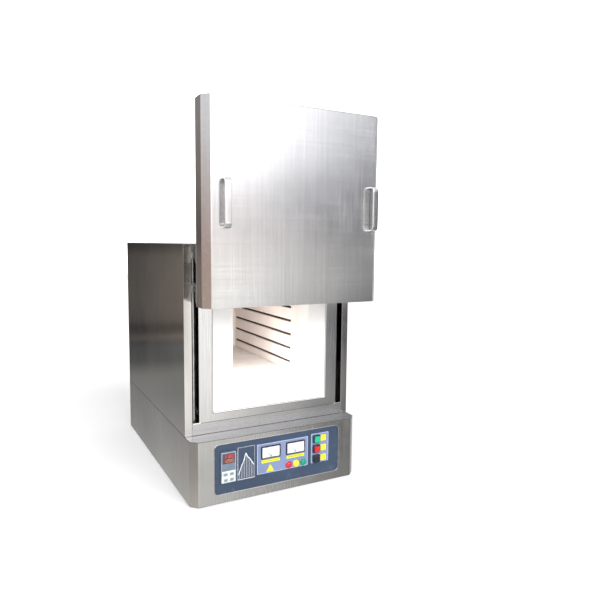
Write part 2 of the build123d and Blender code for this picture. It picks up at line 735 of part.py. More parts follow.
ROD_BLOCK_LOW = (BASE_TOP, 243.0)  # clamps that hold the rods' ends
ROD_BLOCK_HIGH = (800.0, CASING_TOP - TOP_SHEET)
with BuildPart() as guide_rods:
    for side in SIDES.values():
        x = side * LIFT_X
        rod(x, ROD_Y, (ROD_BLOCK_LOW[0], ROD_BLOCK_HIGH[1]), ROD_R, "z")
        block(span(x, BUSH_HALF), span(ROD_Y, BUSH_HALF), ROD_BLOCK_LOW)
        block(span(x, BUSH_HALF), span(ROD_Y, BUSH_HALF), ROD_BLOCK_HIGH)
save(guide_rods, "guide_rods")

PULLEY_HALF_T = 5.0
FLANGE_R = PULLEY_R + 3.0
GROOVE_R = PULLEY_R - ROPE_R - 0.3
GROOVE_HALF = (3.0, 2.0)  # half width of the rope groove at its rim and its floor
WEB_HOLES = 5
WEB_HOLE_R = 7.0
WEB_HOLE_AT = 23.0  # from the shaft's axis
for label, z in (("upper_shaft", UPPER_SHAFT_Z), ("lower_shaft", LOWER_SHAFT_Z)):
    with BuildPart() as pulley_shaft:
        rod(span(0, ROPE_X + PULLEY_HALF_T), SHAFT_Y, z, SHAFT_R, "x")
        for side in SIDES.values():
            middle = side * ROPE_X
            with BuildSketch(Plane.XY.offset(z)):
                with BuildLine():
                    Polyline(
                        (middle - PULLEY_HALF_T, FRONT + SHAFT_Y),
                        (middle - PULLEY_HALF_T, FRONT + SHAFT_Y + FLANGE_R),
                        (middle - GROOVE_HALF[0], FRONT + SHAFT_Y + FLANGE_R),
                        (middle - GROOVE_HALF[1], FRONT + SHAFT_Y + GROOVE_R),
                        (middle + GROOVE_HALF[1], FRONT + SHAFT_Y + GROOVE_R),
                        (middle + GROOVE_HALF[0], FRONT + SHAFT_Y + FLANGE_R),
                        (middle + PULLEY_HALF_T, FRONT + SHAFT_Y + FLANGE_R),
                        (middle + PULLEY_HALF_T, FRONT + SHAFT_Y),
                        close=True,
                    )
                make_face()
            revolve(axis=Axis((0, FRONT + SHAFT_Y, z), (1, 0, 0)))
            with BuildSketch(Plane.YZ.offset(middle - 2 * PULLEY_HALF_T)):
                with Locations((FRONT + SHAFT_Y, z)):
                    with PolarLocations(WEB_HOLE_AT, WEB_HOLES):
                        Circle(WEB_HOLE_R)
            extrude(amount=4 * PULLEY_HALF_T, mode=Mode.SUBTRACT)
    save(pulley_shaft, label)

BEARING_X = 205.0
BEARING_HALF = (8.0, 22.0, 14.0)  # half length along the shaft, half depth, height past its axis
with BuildPart() as shaft_bearings:
    for side in SIDES.values():
        along = span(side * BEARING_X, BEARING_HALF[0])
        across = span(SHAFT_Y, BEARING_HALF[1])
        block(along, across, (CASE_Z[1], UPPER_SHAFT_Z + BEARING_HALF[2]))
        block(along, across, (LOWER_SHAFT_Z - BEARING_HALF[2], CASE_Z[0]))
        for z in (UPPER_SHAFT_Z, LOWER_SHAFT_Z):
            bore = span(side * BEARING_X, BEARING_HALF[0] + 1)
            rod(bore, SHAFT_Y, z, SHAFT_R + RUN_GAP, "x", Mode.SUBTRACT)
save(shaft_bearings, "shaft_bearings")

with BuildPart() as lift_ropes:
    for side in SIDES.values():
        x = side * ROPE_X
        for y in (ROPE_FRONT, ROPE_REAR):
            rod(x, y, (LOWER_SHAFT_Z, UPPER_SHAFT_Z), ROPE_R, "z")
        for z, sweep_by in ((UPPER_SHAFT_Z, 180), (LOWER_SHAFT_Z, -180)):
            with BuildSketch(Plane.XY.offset(z)):
                with Locations((x, FRONT + ROPE_REAR)):
                    Circle(ROPE_R)
            revolve(
                axis=Axis((0, FRONT + SHAFT_Y, z), (1, 0, 0)),
                revolution_arc=sweep_by,
            )
save(lift_ropes, "lift_ropes")

WEIGHT_X = (256.0, 294.0)
WEIGHT_Y = (140.0, 408.0)
WEIGHT_Z = (225.0, 385.0)
TAB_Z = (CLAMP_Z[0] - DOOR_TRAVEL, CLAMP_Z[1] - DOOR_TRAVEL)
TAB_CUT = (TAB_Z[0] - 1, TAB_Z[1] + 1)
for name, side in SIDES.items():
    with BuildPart() as counterweight:
        block(outward(side, *WEIGHT_X), WEIGHT_Y, WEIGHT_Z)
        chamfer(counterweight.edges().filter_by(Axis.Z), 4)
        block(outward(side, ROPE_X - CLAMP_HALF, WEIGHT_X[0]), span(ROPE_REAR, CLAMP_HALF), TAB_Z)
        rod(side * ROPE_X, ROPE_REAR, TAB_CUT, ROPE_BORE_R, "z", Mode.SUBTRACT)
    save(counterweight, f"counterweight_{name}")

# ---- Electrics and fasteners -----------------------------------------------
HEATSINK_HALF_W = 60.0
HEATSINK_Y = (560.0, 700.0)
HEATSINK_Z = (BOTTOM_Z[1], BOTTOM_Z[1] + 8, BOTTOM_Z[1] + 50)  # foot, fin roots, fin tips
FIN_X = [-56.0 + 14.0 * fin for fin in range(9)]
FIN_HALF = 1.5
MODULE_Y = (596.0, 664.0)
MODULE_H = 30.0
with BuildPart() as power_unit:
    block(span(0, HEATSINK_HALF_W), HEATSINK_Y, HEATSINK_Z[:2])
    for x in FIN_X:
        block(span(x, FIN_HALF), HEATSINK_Y, HEATSINK_Z[1:])
    block(span(0, HEATSINK_HALF_W), MODULE_Y, (HEATSINK_Z[2], HEATSINK_Z[2] + MODULE_H))
save(power_unit, "power_unit")

GLAND_BORE_R = 7.0
GLAND_NUT_R, GLAND_NUT_T = 17.0, 6.0
GLAND_CAP_R = 15.0
GLAND_INSIDE = 12.0  # reach into the base
with BuildPart() as cable_gland:
    rod(GLAND_X, (DEPTH - GLAND_INSIDE, DEPTH + 16), GLAND_Z, GLAND_THREAD_R, "y")
    for y in (DEPTH - SHEET - GLAND_NUT_T, DEPTH):
        with BuildSketch(facing_front(y)):
            with Locations((GLAND_X, GLAND_Z)):
                RegularPolygon(GLAND_NUT_R, 6)
        extrude(amount=-GLAND_NUT_T)
    rod(GLAND_X, (DEPTH + 10, DEPTH + GLAND_REACH), GLAND_Z, GLAND_CAP_R, "y")
    fillet(cable_gland.faces().sort_by(Axis.Y)[-1].edges(), 5)
    bore = (DEPTH - GLAND_INSIDE - 1, DEPTH + GLAND_REACH + 1)
    rod(GLAND_X, bore, GLAND_Z, GLAND_BORE_R, "y", Mode.SUBTRACT)
save(cable_gland, "cable_gland")

HEAD_R, HEAD_T = 4.0, 2.2
SCREW_X = (-285.0, -95.0, 95.0, 285.0)
SCREW_Z = (BOTTOM_Z[1] + 8, BASE_TOP - 12, BASE_TOP + 14, CASING_TOP - 16)
with BuildPart() as cover_screws:
    for x in SCREW_X:
        for z in SCREW_Z:
            rod(x, (DEPTH, DEPTH + HEAD_T), z, HEAD_R, "y")
    fillet(cover_screws.faces().group_by(Axis.Y)[-1].edges(), 1.2)
save(cover_screws, "cover_screws")
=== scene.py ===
"""Looks of the pottery kiln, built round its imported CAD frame. Metres, in the row frame."""

import math

import bmesh
import bpy
from mathutils import Matrix, Vector


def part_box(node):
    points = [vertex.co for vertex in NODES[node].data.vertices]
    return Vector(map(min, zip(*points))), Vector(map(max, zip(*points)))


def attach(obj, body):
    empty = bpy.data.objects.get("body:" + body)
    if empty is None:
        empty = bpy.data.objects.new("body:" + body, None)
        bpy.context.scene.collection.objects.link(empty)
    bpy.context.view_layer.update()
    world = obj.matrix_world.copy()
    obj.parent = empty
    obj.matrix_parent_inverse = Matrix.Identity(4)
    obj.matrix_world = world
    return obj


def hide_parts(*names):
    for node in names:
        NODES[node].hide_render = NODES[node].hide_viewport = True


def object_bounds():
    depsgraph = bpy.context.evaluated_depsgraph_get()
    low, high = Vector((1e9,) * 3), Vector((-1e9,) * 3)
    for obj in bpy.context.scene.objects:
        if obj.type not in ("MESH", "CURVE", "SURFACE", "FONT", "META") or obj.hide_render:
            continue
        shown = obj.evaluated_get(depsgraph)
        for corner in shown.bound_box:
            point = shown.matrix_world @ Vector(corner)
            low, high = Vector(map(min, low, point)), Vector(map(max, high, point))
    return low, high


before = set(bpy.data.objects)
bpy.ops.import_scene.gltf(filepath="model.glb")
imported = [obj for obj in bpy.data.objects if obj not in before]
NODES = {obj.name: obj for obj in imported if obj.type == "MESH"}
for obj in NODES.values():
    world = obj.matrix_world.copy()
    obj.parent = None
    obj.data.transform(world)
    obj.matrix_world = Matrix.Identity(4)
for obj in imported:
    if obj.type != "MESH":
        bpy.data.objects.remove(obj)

CAD_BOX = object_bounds()
MM = 0.001
CABINET = "cabinet"


# ---- Places taken from the frame --------------------------------------------
class Span:
    """Low and high corners of a CAD node, with its middle and size."""

    def __init__(self, node):
        self.low, self.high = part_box(node)
        self.middle = (self.low + self.high) / 2
        self.size = self.high - self.low


BASE = Span("base_wrap")
DOOR = Span("door_shell")
PANEL = Span("control_panel_plate")
FRONT_Y = BASE.low.y
PANEL_FACE = PANEL.low.y


# ---- Material graphs --------------------------------------------------------
class Graph:
    """A shader node tree, with short ways to add nodes, link them and mix their colours."""

    def __init__(self, tree):
        self.tree = tree

    def add(self, kind, **settings):
        node = self.tree.nodes.new(kind)
        for key, value in settings.items():
            setattr(node, key, value)
        return node

    def join(self, source, target):
        self.tree.links.new(source, target)

    def remap(self, value, low, high, start=0.3, end=0.7, interpolation="LINEAR"):
        """Value moved from the range start to end into the range low to high."""
        node = self.add("ShaderNodeMapRange", interpolation_type=interpolation)
        node.inputs["From Min"].default_value = start
        node.inputs["From Max"].default_value = end
        node.inputs["To Min"].default_value = low
        node.inputs["To Max"].default_value = high
        self.join(value, node.inputs["Value"])
        return node.outputs["Result"]

    def blend(self, value, first, second):
        """Colour between two others, by a value from 0 to 1."""
        node = self.add("ShaderNodeMix", data_type="RGBA")
        self.join(value, node.inputs["Factor"])
        for socket, colour in ((node.inputs["A"], first), (node.inputs["B"], second)):
            if isinstance(colour, tuple):
                socket.default_value = (*colour, 1)
            else:
                self.join(colour, socket)
        return node.outputs["Result"]


class Look(Graph):
    """A node-based material round one Principled shader."""

    def __init__(self, name, roughness=0.5, metallic=0.0):
        self.material = bpy.data.materials.new(name)
        self.material.use_nodes = True
        super().__init__(self.material.node_tree)
        self.tree.nodes.clear()
        out = self.add("ShaderNodeOutputMaterial")
        self.shader = self.add("ShaderNodeBsdfPrincipled")
        self.shader.inputs["Roughness"].default_value = roughness
        self.shader.inputs["Metallic"].default_value = metallic
        self.join(self.shader.outputs["BSDF"], out.inputs["Surface"])
        self.place = self.add("ShaderNodeTexCoord").outputs["Object"]
        self.height = None

    def noise(self, scale, detail=4.0, stretch=(1, 1, 1), roughness=0.55, offset=(0, 0, 0)):
        """Noise value over object space, drawn out along any axis with a small stretch."""
        mapping = self.add("ShaderNodeMapping")
        mapping.inputs["Scale"].default_value = stretch
        mapping.inputs["Location"].default_value = offset
        self.join(self.place, mapping.inputs["Vector"])
        node = self.add("ShaderNodeTexNoise")
        node.inputs["Scale"].default_value = scale
        node.inputs["Detail"].default_value = detail
        node.inputs["Roughness"].default_value = roughness
        self.join(mapping.outputs["Vector"], node.inputs["Vector"])
        return node.outputs["Fac"]

    def texture(self, kind, scale, output, **settings):
        """One output of another texture over object space."""
        node = self.add(kind, **settings)
        node.inputs["Scale"].default_value = scale
        self.join(self.place, node.inputs["Vector"])
        return node.outputs[output]

    def combine(self, operation, first, second):
        """Sum or product of two values, each a number or a socket."""
        node = self.add("ShaderNodeMath", operation=operation)
        for socket, value in zip(node.inputs, (first, second)):
            if isinstance(value, (int, float)):
                socket.default_value = value
            else:
                self.join(value, socket)
        return node.outputs["Value"]

    def weighted(self, first, share, second):
        """Sum of two values, the first with its share and the second with the rest."""
        rest = round(1 - share, 2)
        return self.combine(
            "ADD", self.combine("MULTIPLY", first, share), self.combine("MULTIPLY", second, rest)
        )

    def colour(self, source):
        self.join(source, self.shader.inputs["Base Color"])

    def mottle(self, value, dark, light):
        """Base colour that wanders between two tones with a noise value."""
        self.colour(self.blend(self.remap(value, 0, 1), dark, light))

    def roughen(self, source):
        self.join(source, self.shader.inputs["Roughness"])

    def bump(self, value, distance, strength=1.0):
        """Adds one layer of relief, distance metres deep."""
        node = self.add("ShaderNodeBump")
        node.inputs["Strength"].default_value = strength
        node.inputs["Distance"].default_value = distance
        self.join(value, node.inputs["Height"])
        if self.height is not None:
            self.join(self.height, node.inputs["Normal"])
        self.height = node.outputs["Normal"]
        self.join(self.height, self.shader.inputs["Normal"])


WARM_FILM = (0.5, 0.45, 0.39)
DRAWN_OUT = 0.012
ALONG_Z = (1, 1, DRAWN_OUT)
ALONG_Y = (1, DRAWN_OUT, 1)
ALONG_X = (DRAWN_OUT, 1, 1)


def shade(tone, factor, lift=0.0):
    """The tone made darker or lighter."""
    return tuple(min(1, c * factor + lift) for c in tone)


def steel(name, tone, roughness, grain, streak, relief=0.00004, stain=0.06, cross=None, weave=0.0):
    """Brushed stainless sheet: fine lines along the grain, faint clouds and a slightly wavy face.

    Streak, stain and weave are how far the lines, clouds and crossing threads change the tone;
    relief is the depth of the lines in metres.
    """
    look = Look(name, roughness, 1.0)
    fine = look.noise(1100, 3, grain)
    coarse = look.noise(230, 4, grain, offset=(0.3, 0.7, 0.1))
    lines = look.weighted(fine, 0.6, coarse)
    if cross:
        lines = look.weighted(lines, 0.7, look.noise(620, 3, cross))
    cloud = look.noise(3.2, 4, offset=(4, 2, 7))
    smear = look.noise(14, 5, grain, offset=(1, 5, 2))
    base = look.blend(look.remap(cloud, 0, 1), shade(tone, 1 - stain), shade(tone, 1 + stain))
    lined = look.blend(look.remap(lines, 0, streak, 0.4, 0.64), base, shade(tone, 0.6))
    tinted = look.blend(look.remap(smear, 0, 0.12), lined, WARM_FILM)
    if weave:
        warp = look.noise(140, 1, grain, offset=(2, 2, 2))
        weft = look.noise(120, 1, cross, offset=(5, 5, 5))
        threads = look.remap(look.weighted(warp, 0.55, weft), 0, weave, 0.42, 0.6)
        tinted = look.blend(threads, tinted, shade(tone, 0.55))
    look.colour(tinted)
    rough = look.remap(lines, roughness - 0.05, roughness + 0.07, 0.38, 0.62)
    look.roughen(look.combine("ADD", rough, look.remap(cloud, -0.03, 0.04)))
    look.bump(lines, relief, 0.6)
    look.bump(look.noise(1.7, 2, offset=(9, 3, 5)), 0.004, 0.3)
    look.shader.inputs["Anisotropic"].default_value = 0.3
    return look.material


def machined_steel():
    look = Look("machined_steel", 0.32, 1.0)
    lines = look.noise(900, 3, ALONG_Z)
    look.mottle(look.noise(30, 4), (0.42, 0.41, 0.4), (0.6, 0.6, 0.59))
    look.roughen(look.remap(lines, 0.24, 0.42))
    look.bump(lines, 0.00008, 0.5)
    return look.material


def zinc_plate():
    look = Look("zinc_plated_steel", 0.45, 1.0)
    spangle = look.texture("ShaderNodeTexVoronoi", 45, "Distance")
    share = look.remap(spangle, 0, 1, 0, 0.6)
    look.colour(look.blend(share, (0.34, 0.36, 0.38), (0.52, 0.54, 0.55)))
    look.roughen(look.remap(look.noise(60), 0.35, 0.55))
    return look.material


def fibre_board(name, light, shaded, relief=0.0006):
    """Vacuum-formed ceramic fibre: chalky, faintly felted, with a few pits."""
    look = Look(name, 0.92)
    felt = look.noise(420, 6, (1, 1, 1), 0.7)
    patch = look.noise(7, 4, offset=(2, 8, 3))
    pits = look.texture("ShaderNodeTexVoronoi", 150, "Distance")
    look.mottle(patch, shaded, light)
    look.roughen(look.remap(felt, 0.86, 0.97))
    look.bump(look.remap(pits, 0, 1, 0.05, 0.3), relief * 0.5, 0.5)
    look.bump(felt, relief, 0.6)
    look.shader.inputs["Specular IOR Level"].default_value = 0.2
    return look.material


def silicon_carbide():
    look = Look("silicon_carbide", 0.8)
    grit = look.noise(700, 4)
    look.mottle(look.noise(18), (0.78, 0.75, 0.71), (0.9, 0.88, 0.85))
    look.roughen(look.remap(grit, 0.7, 0.9))
    look.bump(grit, 0.0004, 0.6)
    return look.material


def resistance_wire():
    look = Look("resistance_wire", 0.75, 0.1)
    scale = look.noise(500, 4)
    look.mottle(scale, (0.03, 0.022, 0.018), (0.1, 0.075, 0.06))
    look.roughen(look.remap(scale, 0.65, 0.85))
    look.bump(scale, 0.0002, 0.5)
    return look.material


def alumina():
    look = Look("alumina", 0.45)
    look.mottle(look.noise(40), (0.82, 0.78, 0.7), (0.92, 0.9, 0.85))
    look.roughen(look.remap(look.noise(300), 0.38, 0.6))
    return look.material


def paint(name, tone, roughness):
    """Stoved enamel: faint orange peel, slightly uneven colour and a few dull rubbed patches."""
    look = Look(name, roughness)
    cloud = look.remap(look.noise(6, 3), 0, 1)
    clouded = look.blend(cloud, shade(tone, 0.88), shade(tone, 1.12))
    patches = look.remap(look.noise(38, 5, offset=(3, 1, 6)), 0, 1, 0.6, 0.75)
    look.colour(look.blend(patches, clouded, shade(tone, 0.85, 0.04)))
    look.roughen(look.remap(look.noise(220, 3), roughness - 0.06, roughness + 0.1))
    look.bump(look.noise(900, 2), 0.00012, 0.4)
    return look.material


def plastic(name, tone, roughness, texture=600, coat=0.0, glow=None):
    """Moulded plastic with a fine spark texture; glow adds a weak light of its own."""
    look = Look(name, roughness)
    grain = look.noise(texture, 3)
    look.mottle(look.noise(45, 3), shade(tone, 0.86), shade(tone, 1.12, 0.004))
    look.roughen(look.remap(grain, roughness - 0.08, roughness + 0.12))
    look.bump(grain, 0.00008, 0.4)
    look.shader.inputs["Coat Weight"].default_value = coat
    if glow:
        look.shader.inputs["Emission Color"].default_value = (*tone, 1)
        look.shader.inputs["Emission Strength"].default_value = glow
    return look.material


def rubber():
    look = Look("foot_rubber", 0.8)
    look.mottle(look.noise(80), (0.02, 0.02, 0.02), (0.06, 0.058, 0.055))
    look.roughen(look.remap(look.noise(400), 0.7, 0.92))
    look.bump(look.noise(1200, 2), 0.0001, 0.5)
    return look.material


def aluminium():
    look = Look("heatsink_aluminium", 0.4, 1.0)
    lines = look.noise(700, 3, ALONG_Y)
    look.mottle(lines, (0.5, 0.51, 0.52), (0.7, 0.71, 0.72))
    look.roughen(look.remap(lines, 0.3, 0.5))
    look.bump(lines, 0.0001, 0.5)
    return look.material


def wire_rope():
    look = Look("wire_rope", 0.4, 1.0)
    bands = {"wave_type": "BANDS", "bands_direction": "DIAGONAL"}
    strands = look.texture("ShaderNodeTexWave", 300, "Fac", **bands)
    look.colour(look.blend(strands, (0.12, 0.12, 0.12), (0.55, 0.55, 0.56)))
    look.bump(strands, 0.0004, 0.8)
    return look.material


def glass():
    look = Look("meter_glass", 0.04)
    look.shader.inputs["Transmission Weight"].default_value = 1.0
    look.shader.inputs["IOR"].default_value = 1.1
    look.roughen(look.remap(look.noise(30), 0.01, 0.06))
    look.mottle(look.noise(12), (0.97, 0.98, 0.98), (1, 1, 1))
    return look.material


WOVEN = {"cross": ALONG_X, "weave": 0.12}
DOOR_STEEL = steel("door_steel", (0.7, 0.7, 0.71), 0.19, ALONG_Z, 0.14, 0.00002, **WOVEN)
SIDE_STEEL = steel("side_steel", (0.62, 0.61, 0.6), 0.1, ALONG_Z, 0.05, 0.000003)
BASE_STEEL = steel("base_steel", (0.6, 0.6, 0.6), 0.2, ALONG_Z, 0.07, 0.00001, 0.14)
FRAME_STEEL = steel("frame_steel", (0.66, 0.66, 0.67), 0.14, ALONG_Z, 0.1, 0.00001)
SILL_STEEL = steel("sill_steel", (0.6, 0.6, 0.61), 0.22, ALONG_X, 0.1, 0.00002)
DECK_STEEL = steel("deck_steel", (0.23, 0.23, 0.235), 0.26, ALONG_X, 0.12, 0.00002)
HANDLE_STEEL = steel("handle_steel", (0.86, 0.86, 0.86), 0.15, ALONG_Z, 0.05)
MACHINED = machined_steel()
FACE_BOARD = fibre_board("face_board", (0.82, 0.81, 0.795), (0.77, 0.75, 0.73))
WALL_BOARD = fibre_board("wall_board", (0.87, 0.805, 0.765), (0.8, 0.72, 0.675), 0.0009)
BLACK_PLASTIC = plastic("black_plastic", (0.016, 0.017, 0.02), 0.4)
WHITE_PRINT = paint("white_print", (0.86, 0.88, 0.9), 0.5)
# Dark ink for the printed key arrows, also used for the painted shade in the casing joints.
INK_AND_PAINTED_SHADE = paint("ink_and_painted_shade", (0.03, 0.03, 0.035), 0.6)
NEEDLE_PAINT = paint("needle_grey", (0.2, 0.19, 0.19), 0.6)
SCALE_INK = paint("scale_ink", (0.3, 0.3, 0.31), 0.6)
# Near-black steel for the painted shade line along the door's top edge.
PAINTED_EDGE_SHADE = steel("painted_edge_shade_steel", (0.06, 0.058, 0.058), 0.4, ALONG_X, 0.08)
LIP_STEEL = steel("lip_steel", (0.55, 0.55, 0.56), 0.25, ALONG_X, 0.08)
YELLOW = plastic("legend_yellow", (0.64, 0.66, 0.025), 0.45)

LOOKS = {}


def dress(thing, material):
    """Puts one material on an object, whatever slots it came with."""
    thing.data.materials.clear()
    thing.data.materials.append(material)


def wear(material, *nodes):
    """Gives CAD nodes their material."""
    for node in nodes:
        LOOKS[node] = material
        dress(NODES[node], material)


def coloured(kind, tone):
    """Glossy plastic of a lamp's lens or of a button."""
    if kind.startswith("lamp"):
        return plastic(f"{kind}_lens", tone, 0.12, 200, coat=0.5, glow=0.06)
    return plastic(f"{kind}_plastic", tone, 0.28, coat=0.3)


wear(BASE_STEEL, "base_wrap", "base_rear_panel")
wear(DECK_STEEL, "base_deck")
wear(SIDE_STEEL, "left_side_panel", "right_side_panel", "top_panel", "rear_cover")
wear(SILL_STEEL, "front_sill")
wear(FRAME_STEEL, "mouth_frame", "door_back_pan")
wear(DOOR_STEEL, "door_shell")
wear(HANDLE_STEEL, "handle_left", "handle_right", "cover_screws")
wear(zinc_plate(), "base_bottom_plate")
wear(FACE_BOARD, "mouth_block", "lining_floor", "door_board", "door_plug")
wear(WALL_BOARD, "lining_left", "lining_right", "lining_roof", "lining_rear")
wear(silicon_carbide(), "hearth_plate")
wear(resistance_wire(), "heating_elements")
wear(alumina(), "thermocouple")
wear(MACHINED, "door_arms_left", "door_arms_right", "guide_rods")
wear(MACHINED, "upper_shaft", "lower_shaft", "shaft_bearings")
wear(wire_rope(), "lift_ropes")
wear(paint("counterweight_paint", (0.03, 0.03, 0.035), 0.5), "counterweight_left", "counterweight_right")
wear(paint("panel_blue_grey", (0.031, 0.051, 0.09), 0.4), "control_panel_plate")
wear(paint("plate_lavender", (0.165, 0.21, 0.355), 0.45), "instrument_plates")
wear(BLACK_PLASTIC, "meter_case_left", "meter_case_right", "button_holders", "cable_gland")
wear(plastic("controller_grey", (0.12, 0.16, 0.21), 0.4), "temperature_controller")
wear(plastic("display_window", (0.09, 0.035, 0.045), 0.12, coat=0.5), "controller_display")
wear(plastic("key_grey", (0.25, 0.29, 0.29), 0.5), *(f"controller_key_{n}" for n in range(1, 5)))
wear(NEEDLE_PAINT, "needle_left", "needle_right")
wear(glass(), "meter_lenses")
wear(YELLOW, "legend_plates")
wear(rubber(), "feet")
wear(aluminium(), "power_unit")
# Painted shade: the inner case is near-black, so the slots beside the door read as dark shade.
wear(plastic("inner_case_painted_shade", (0.012, 0.012, 0.012), 0.6), "inner_case")
for kind, tone in (
    ("lamp_red", (0.5, 0.02, 0.05)),
    ("lamp_yellow", (0.72, 0.62, 0.03)),
    ("lamp_green", (0.0, 0.25, 0.16)),
    ("button_green", (0.0, 0.42, 0.23)),
    ("button_red", (0.52, 0.015, 0.02)),
    ("button_black", (0.012, 0.013, 0.03)),
):
    wear(coloured(kind, tone), kind)


# ---- Mesh helpers -----------------------------------------------------------
def as_object(name, bm):
    """Turns mesh code into an object of the scene."""
    mesh = bpy.data.meshes.new(name)
    bm.to_mesh(mesh)
    bm.free()
    thing = bpy.data.objects.new(name, mesh)
    bpy.context.scene.collection.objects.link(thing)
    return thing


def as_piece(name, bm, material, body=CABINET, smooth=35):
    """Turns mesh code into a piece that rides on a body, shaded smooth below an angle in degrees."""
    bmesh.ops.recalc_face_normals(bm, faces=bm.faces)
    piece = as_object(name, bm)
    mesh = piece.data
    mesh.polygons.foreach_set("use_smooth", [True] * len(mesh.polygons))
    mesh.set_sharp_from_angle(angle=math.radians(smooth))
    flat = piece.modifiers.new("flat_faces", "WEIGHTED_NORMAL")
    flat.keep_sharp = True
    dress(piece, material)
    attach(piece, body)
    return piece


def bevel(bm, edges, width, segments=3):
    shape = {"profile": 0.5, "affect": "EDGES", "clamp_overlap": True}
    bmesh.ops.bevel(bm, geom=edges, offset=width, segments=segments, **shape)


def sharp_edges(bm, degrees=25):
    limit = math.radians(degrees)
    return [e for e in bm.edges if e.is_manifold and e.calc_face_angle(0) > limit]


def mesh_of(node):
    """A welded copy of a CAD node's mesh."""
    bm = bmesh.new()
    bm.from_mesh(NODES[node].data)
    bmesh.ops.remove_doubles(bm, verts=bm.verts, dist=1e-6)
    return bm


def softened(node, body, width=0.45 * MM, fold_width=0.0, is_fold=None):
    """A copy of a sheet or board node with its edges broken and its folds rounded, standing for it."""
    bm = mesh_of(node)
    bmesh.ops.dissolve_limit(bm, angle_limit=math.radians(1), verts=bm.verts, edges=bm.edges)
    if is_fold:
        folds = [e for e in sharp_edges(bm) if is_fold(*(v.co for v in e.verts))]
        bevel(bm, folds, fold_width, 5)
    bevel(bm, sharp_edges(bm, 30), width, 2)
    piece = as_piece(f"{node}_formed", bm, LOOKS[node], body, 40)
    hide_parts(node)


def slab(bm, low, high):
    """Adds a box between two corners."""
    made = bmesh.ops.create_cube(bm, size=1.0)["verts"]
    size = [b - a for a, b in zip(low, high)]
    middle = [(a + b) / 2 for a, b in zip(low, high)]
    bmesh.ops.scale(bm, vec=size, verts=made)
    bmesh.ops.translate(bm, vec=middle, verts=made)
    return made


def tube(bm, path, radius, sides=8, closed=False):
    """Adds a round tube along a list of points."""
    rings = []
    count = len(path)
    for i, point in enumerate(path):
        before = path[i - 1] if i or closed else point
        after = path[(i + 1) % count] if i < count - 1 or closed else point
        along = (after - before).normalized()
        side = along.cross(Vector((0.3, 0.1, 0.95))).normalized()
        up = side.cross(along)
        turns = [2 * math.pi * s / sides for s in range(sides)]
        rings.append(
            [bm.verts.new(point + radius * (math.cos(t) * side + math.sin(t) * up)) for t in turns]
        )
    pairs = list(zip(rings, rings[1:]))
    if closed:
        pairs.append((rings[-1], rings[0]))
    for a, b in pairs:
        for s in range(sides):
            t = (s + 1) % sides
            bm.faces.new((a[s], a[t], b[t], b[s]))
    if not closed:
        bm.faces.new(rings[0][::-1])
        bm.faces.new(rings[-1])


def rounded_rectangle(half_x, half_z, radius, middle, y):
    """Points round a rounded rectangle that stands in the XZ plane."""
    points = []
    steps = 8
    for side_x, side_z, start in ((1, 1, 0), (-1, 1, 90), (-1, -1, 180), (1, -1, 270)):
        centre_x = middle[0] + side_x * (half_x - radius)
        centre_z = middle[1] + side_z * (half_z - radius)
        for step in range(steps + 1):
            turn = math.radians(start + 90 * step / steps)
            x, z = centre_x + radius * math.cos(turn), centre_z + radius * math.sin(turn)
            points.append(Vector((x, y, z)))
    return points


def prism(bm, places, front_y, back_y):
    """Adds a flat plate with its outline at (x, z) places."""
    front = [bm.verts.new((x, front_y, z)) for x, z in places]
    back = [bm.verts.new((x, back_y, z)) for x, z in places]
    bm.faces.new(front)
    bm.faces.new(back[::-1])
    for i in range(len(places)):
        j = (i + 1) % len(places)
        bm.faces.new((front[i], back[i], back[j], front[j]))


def ribbon(bm, start, end, width, y, thickness=0.25 * MM):
    """Adds a flat printed line between two (x, z) places, standing just proud of y."""
    a, b = Vector(start), Vector(end)
    across = Vector((a.y - b.y, b.x - a.x)).normalized() * width / 2
    prism(bm, [a + across, b + across, b - across, a - across], y - thickness, y)


def outline(bm, low, high, inset, width, y):
    """Printed rectangle, from four lines a little inside two corners."""
    low_x, high_x, low_z, high_z = low.x + inset, high.x - inset, low.z + inset, high.z - inset
    half = width / 2
    for z in (low_z, high_z):
        ribbon(bm, (low_x - half, z), (high_x + half, z), width, y)
    for x in (low_x, high_x):
        ribbon(bm, (x, low_z + half), (x, high_z - half), width, y)


def extent(points):
    """Low and high corners of some points."""
    return [Vector([pick(point[i] for point in points) for i in range(3)]) for pick in (min, max)]


def linked_boxes(edges_at):
    """Low and high corners of each linked group of vertices, given the edges that count at each."""
    boxes, waiting = [], set(edges_at)
    while waiting:
        queue, seen = [waiting.pop()], []
        while queue:
            vertex = queue.pop()
            seen.append(vertex.co.copy())
            linked = {edge.other_vert(vertex) for edge in edges_at[vertex]} & waiting
            waiting -= linked
            queue.extend(linked)
        boxes.append(extent(seen))
    return boxes


def islands(node):
    """Low and high corners of each separate solid of a CAD node, from left to right."""
    bm = mesh_of(node)
    boxes = linked_boxes({vertex: list(vertex.link_edges) for vertex in bm.verts})
    bm.free()
    return sorted(boxes, key=lambda box: (round(box[0].x, 4), box[0].z))


def front_face(node):
    """Low and high corners of the foremost face of a CAD node."""
    points = [vertex.co for vertex in NODES[node].data.vertices]
    front = min(point.y for point in points)
    return extent([point for point in points if point.y < front + 0.1 * MM])


# ---- Sheet metal with real edges --------------------------------------------
def upright(a, b):
    """True for a vertical edge."""
    return abs(a.z - b.z) > 10 * max(abs(a.x - b.x), abs(a.y - b.y), 1e-6)


def front_corner(a, b):
    """True for the upright folds at the two front corners of the base."""
    return upright(a, b) and a.y < FRONT_Y + 60 * MM and abs(a.x) > BASE.high.x - 40 * MM


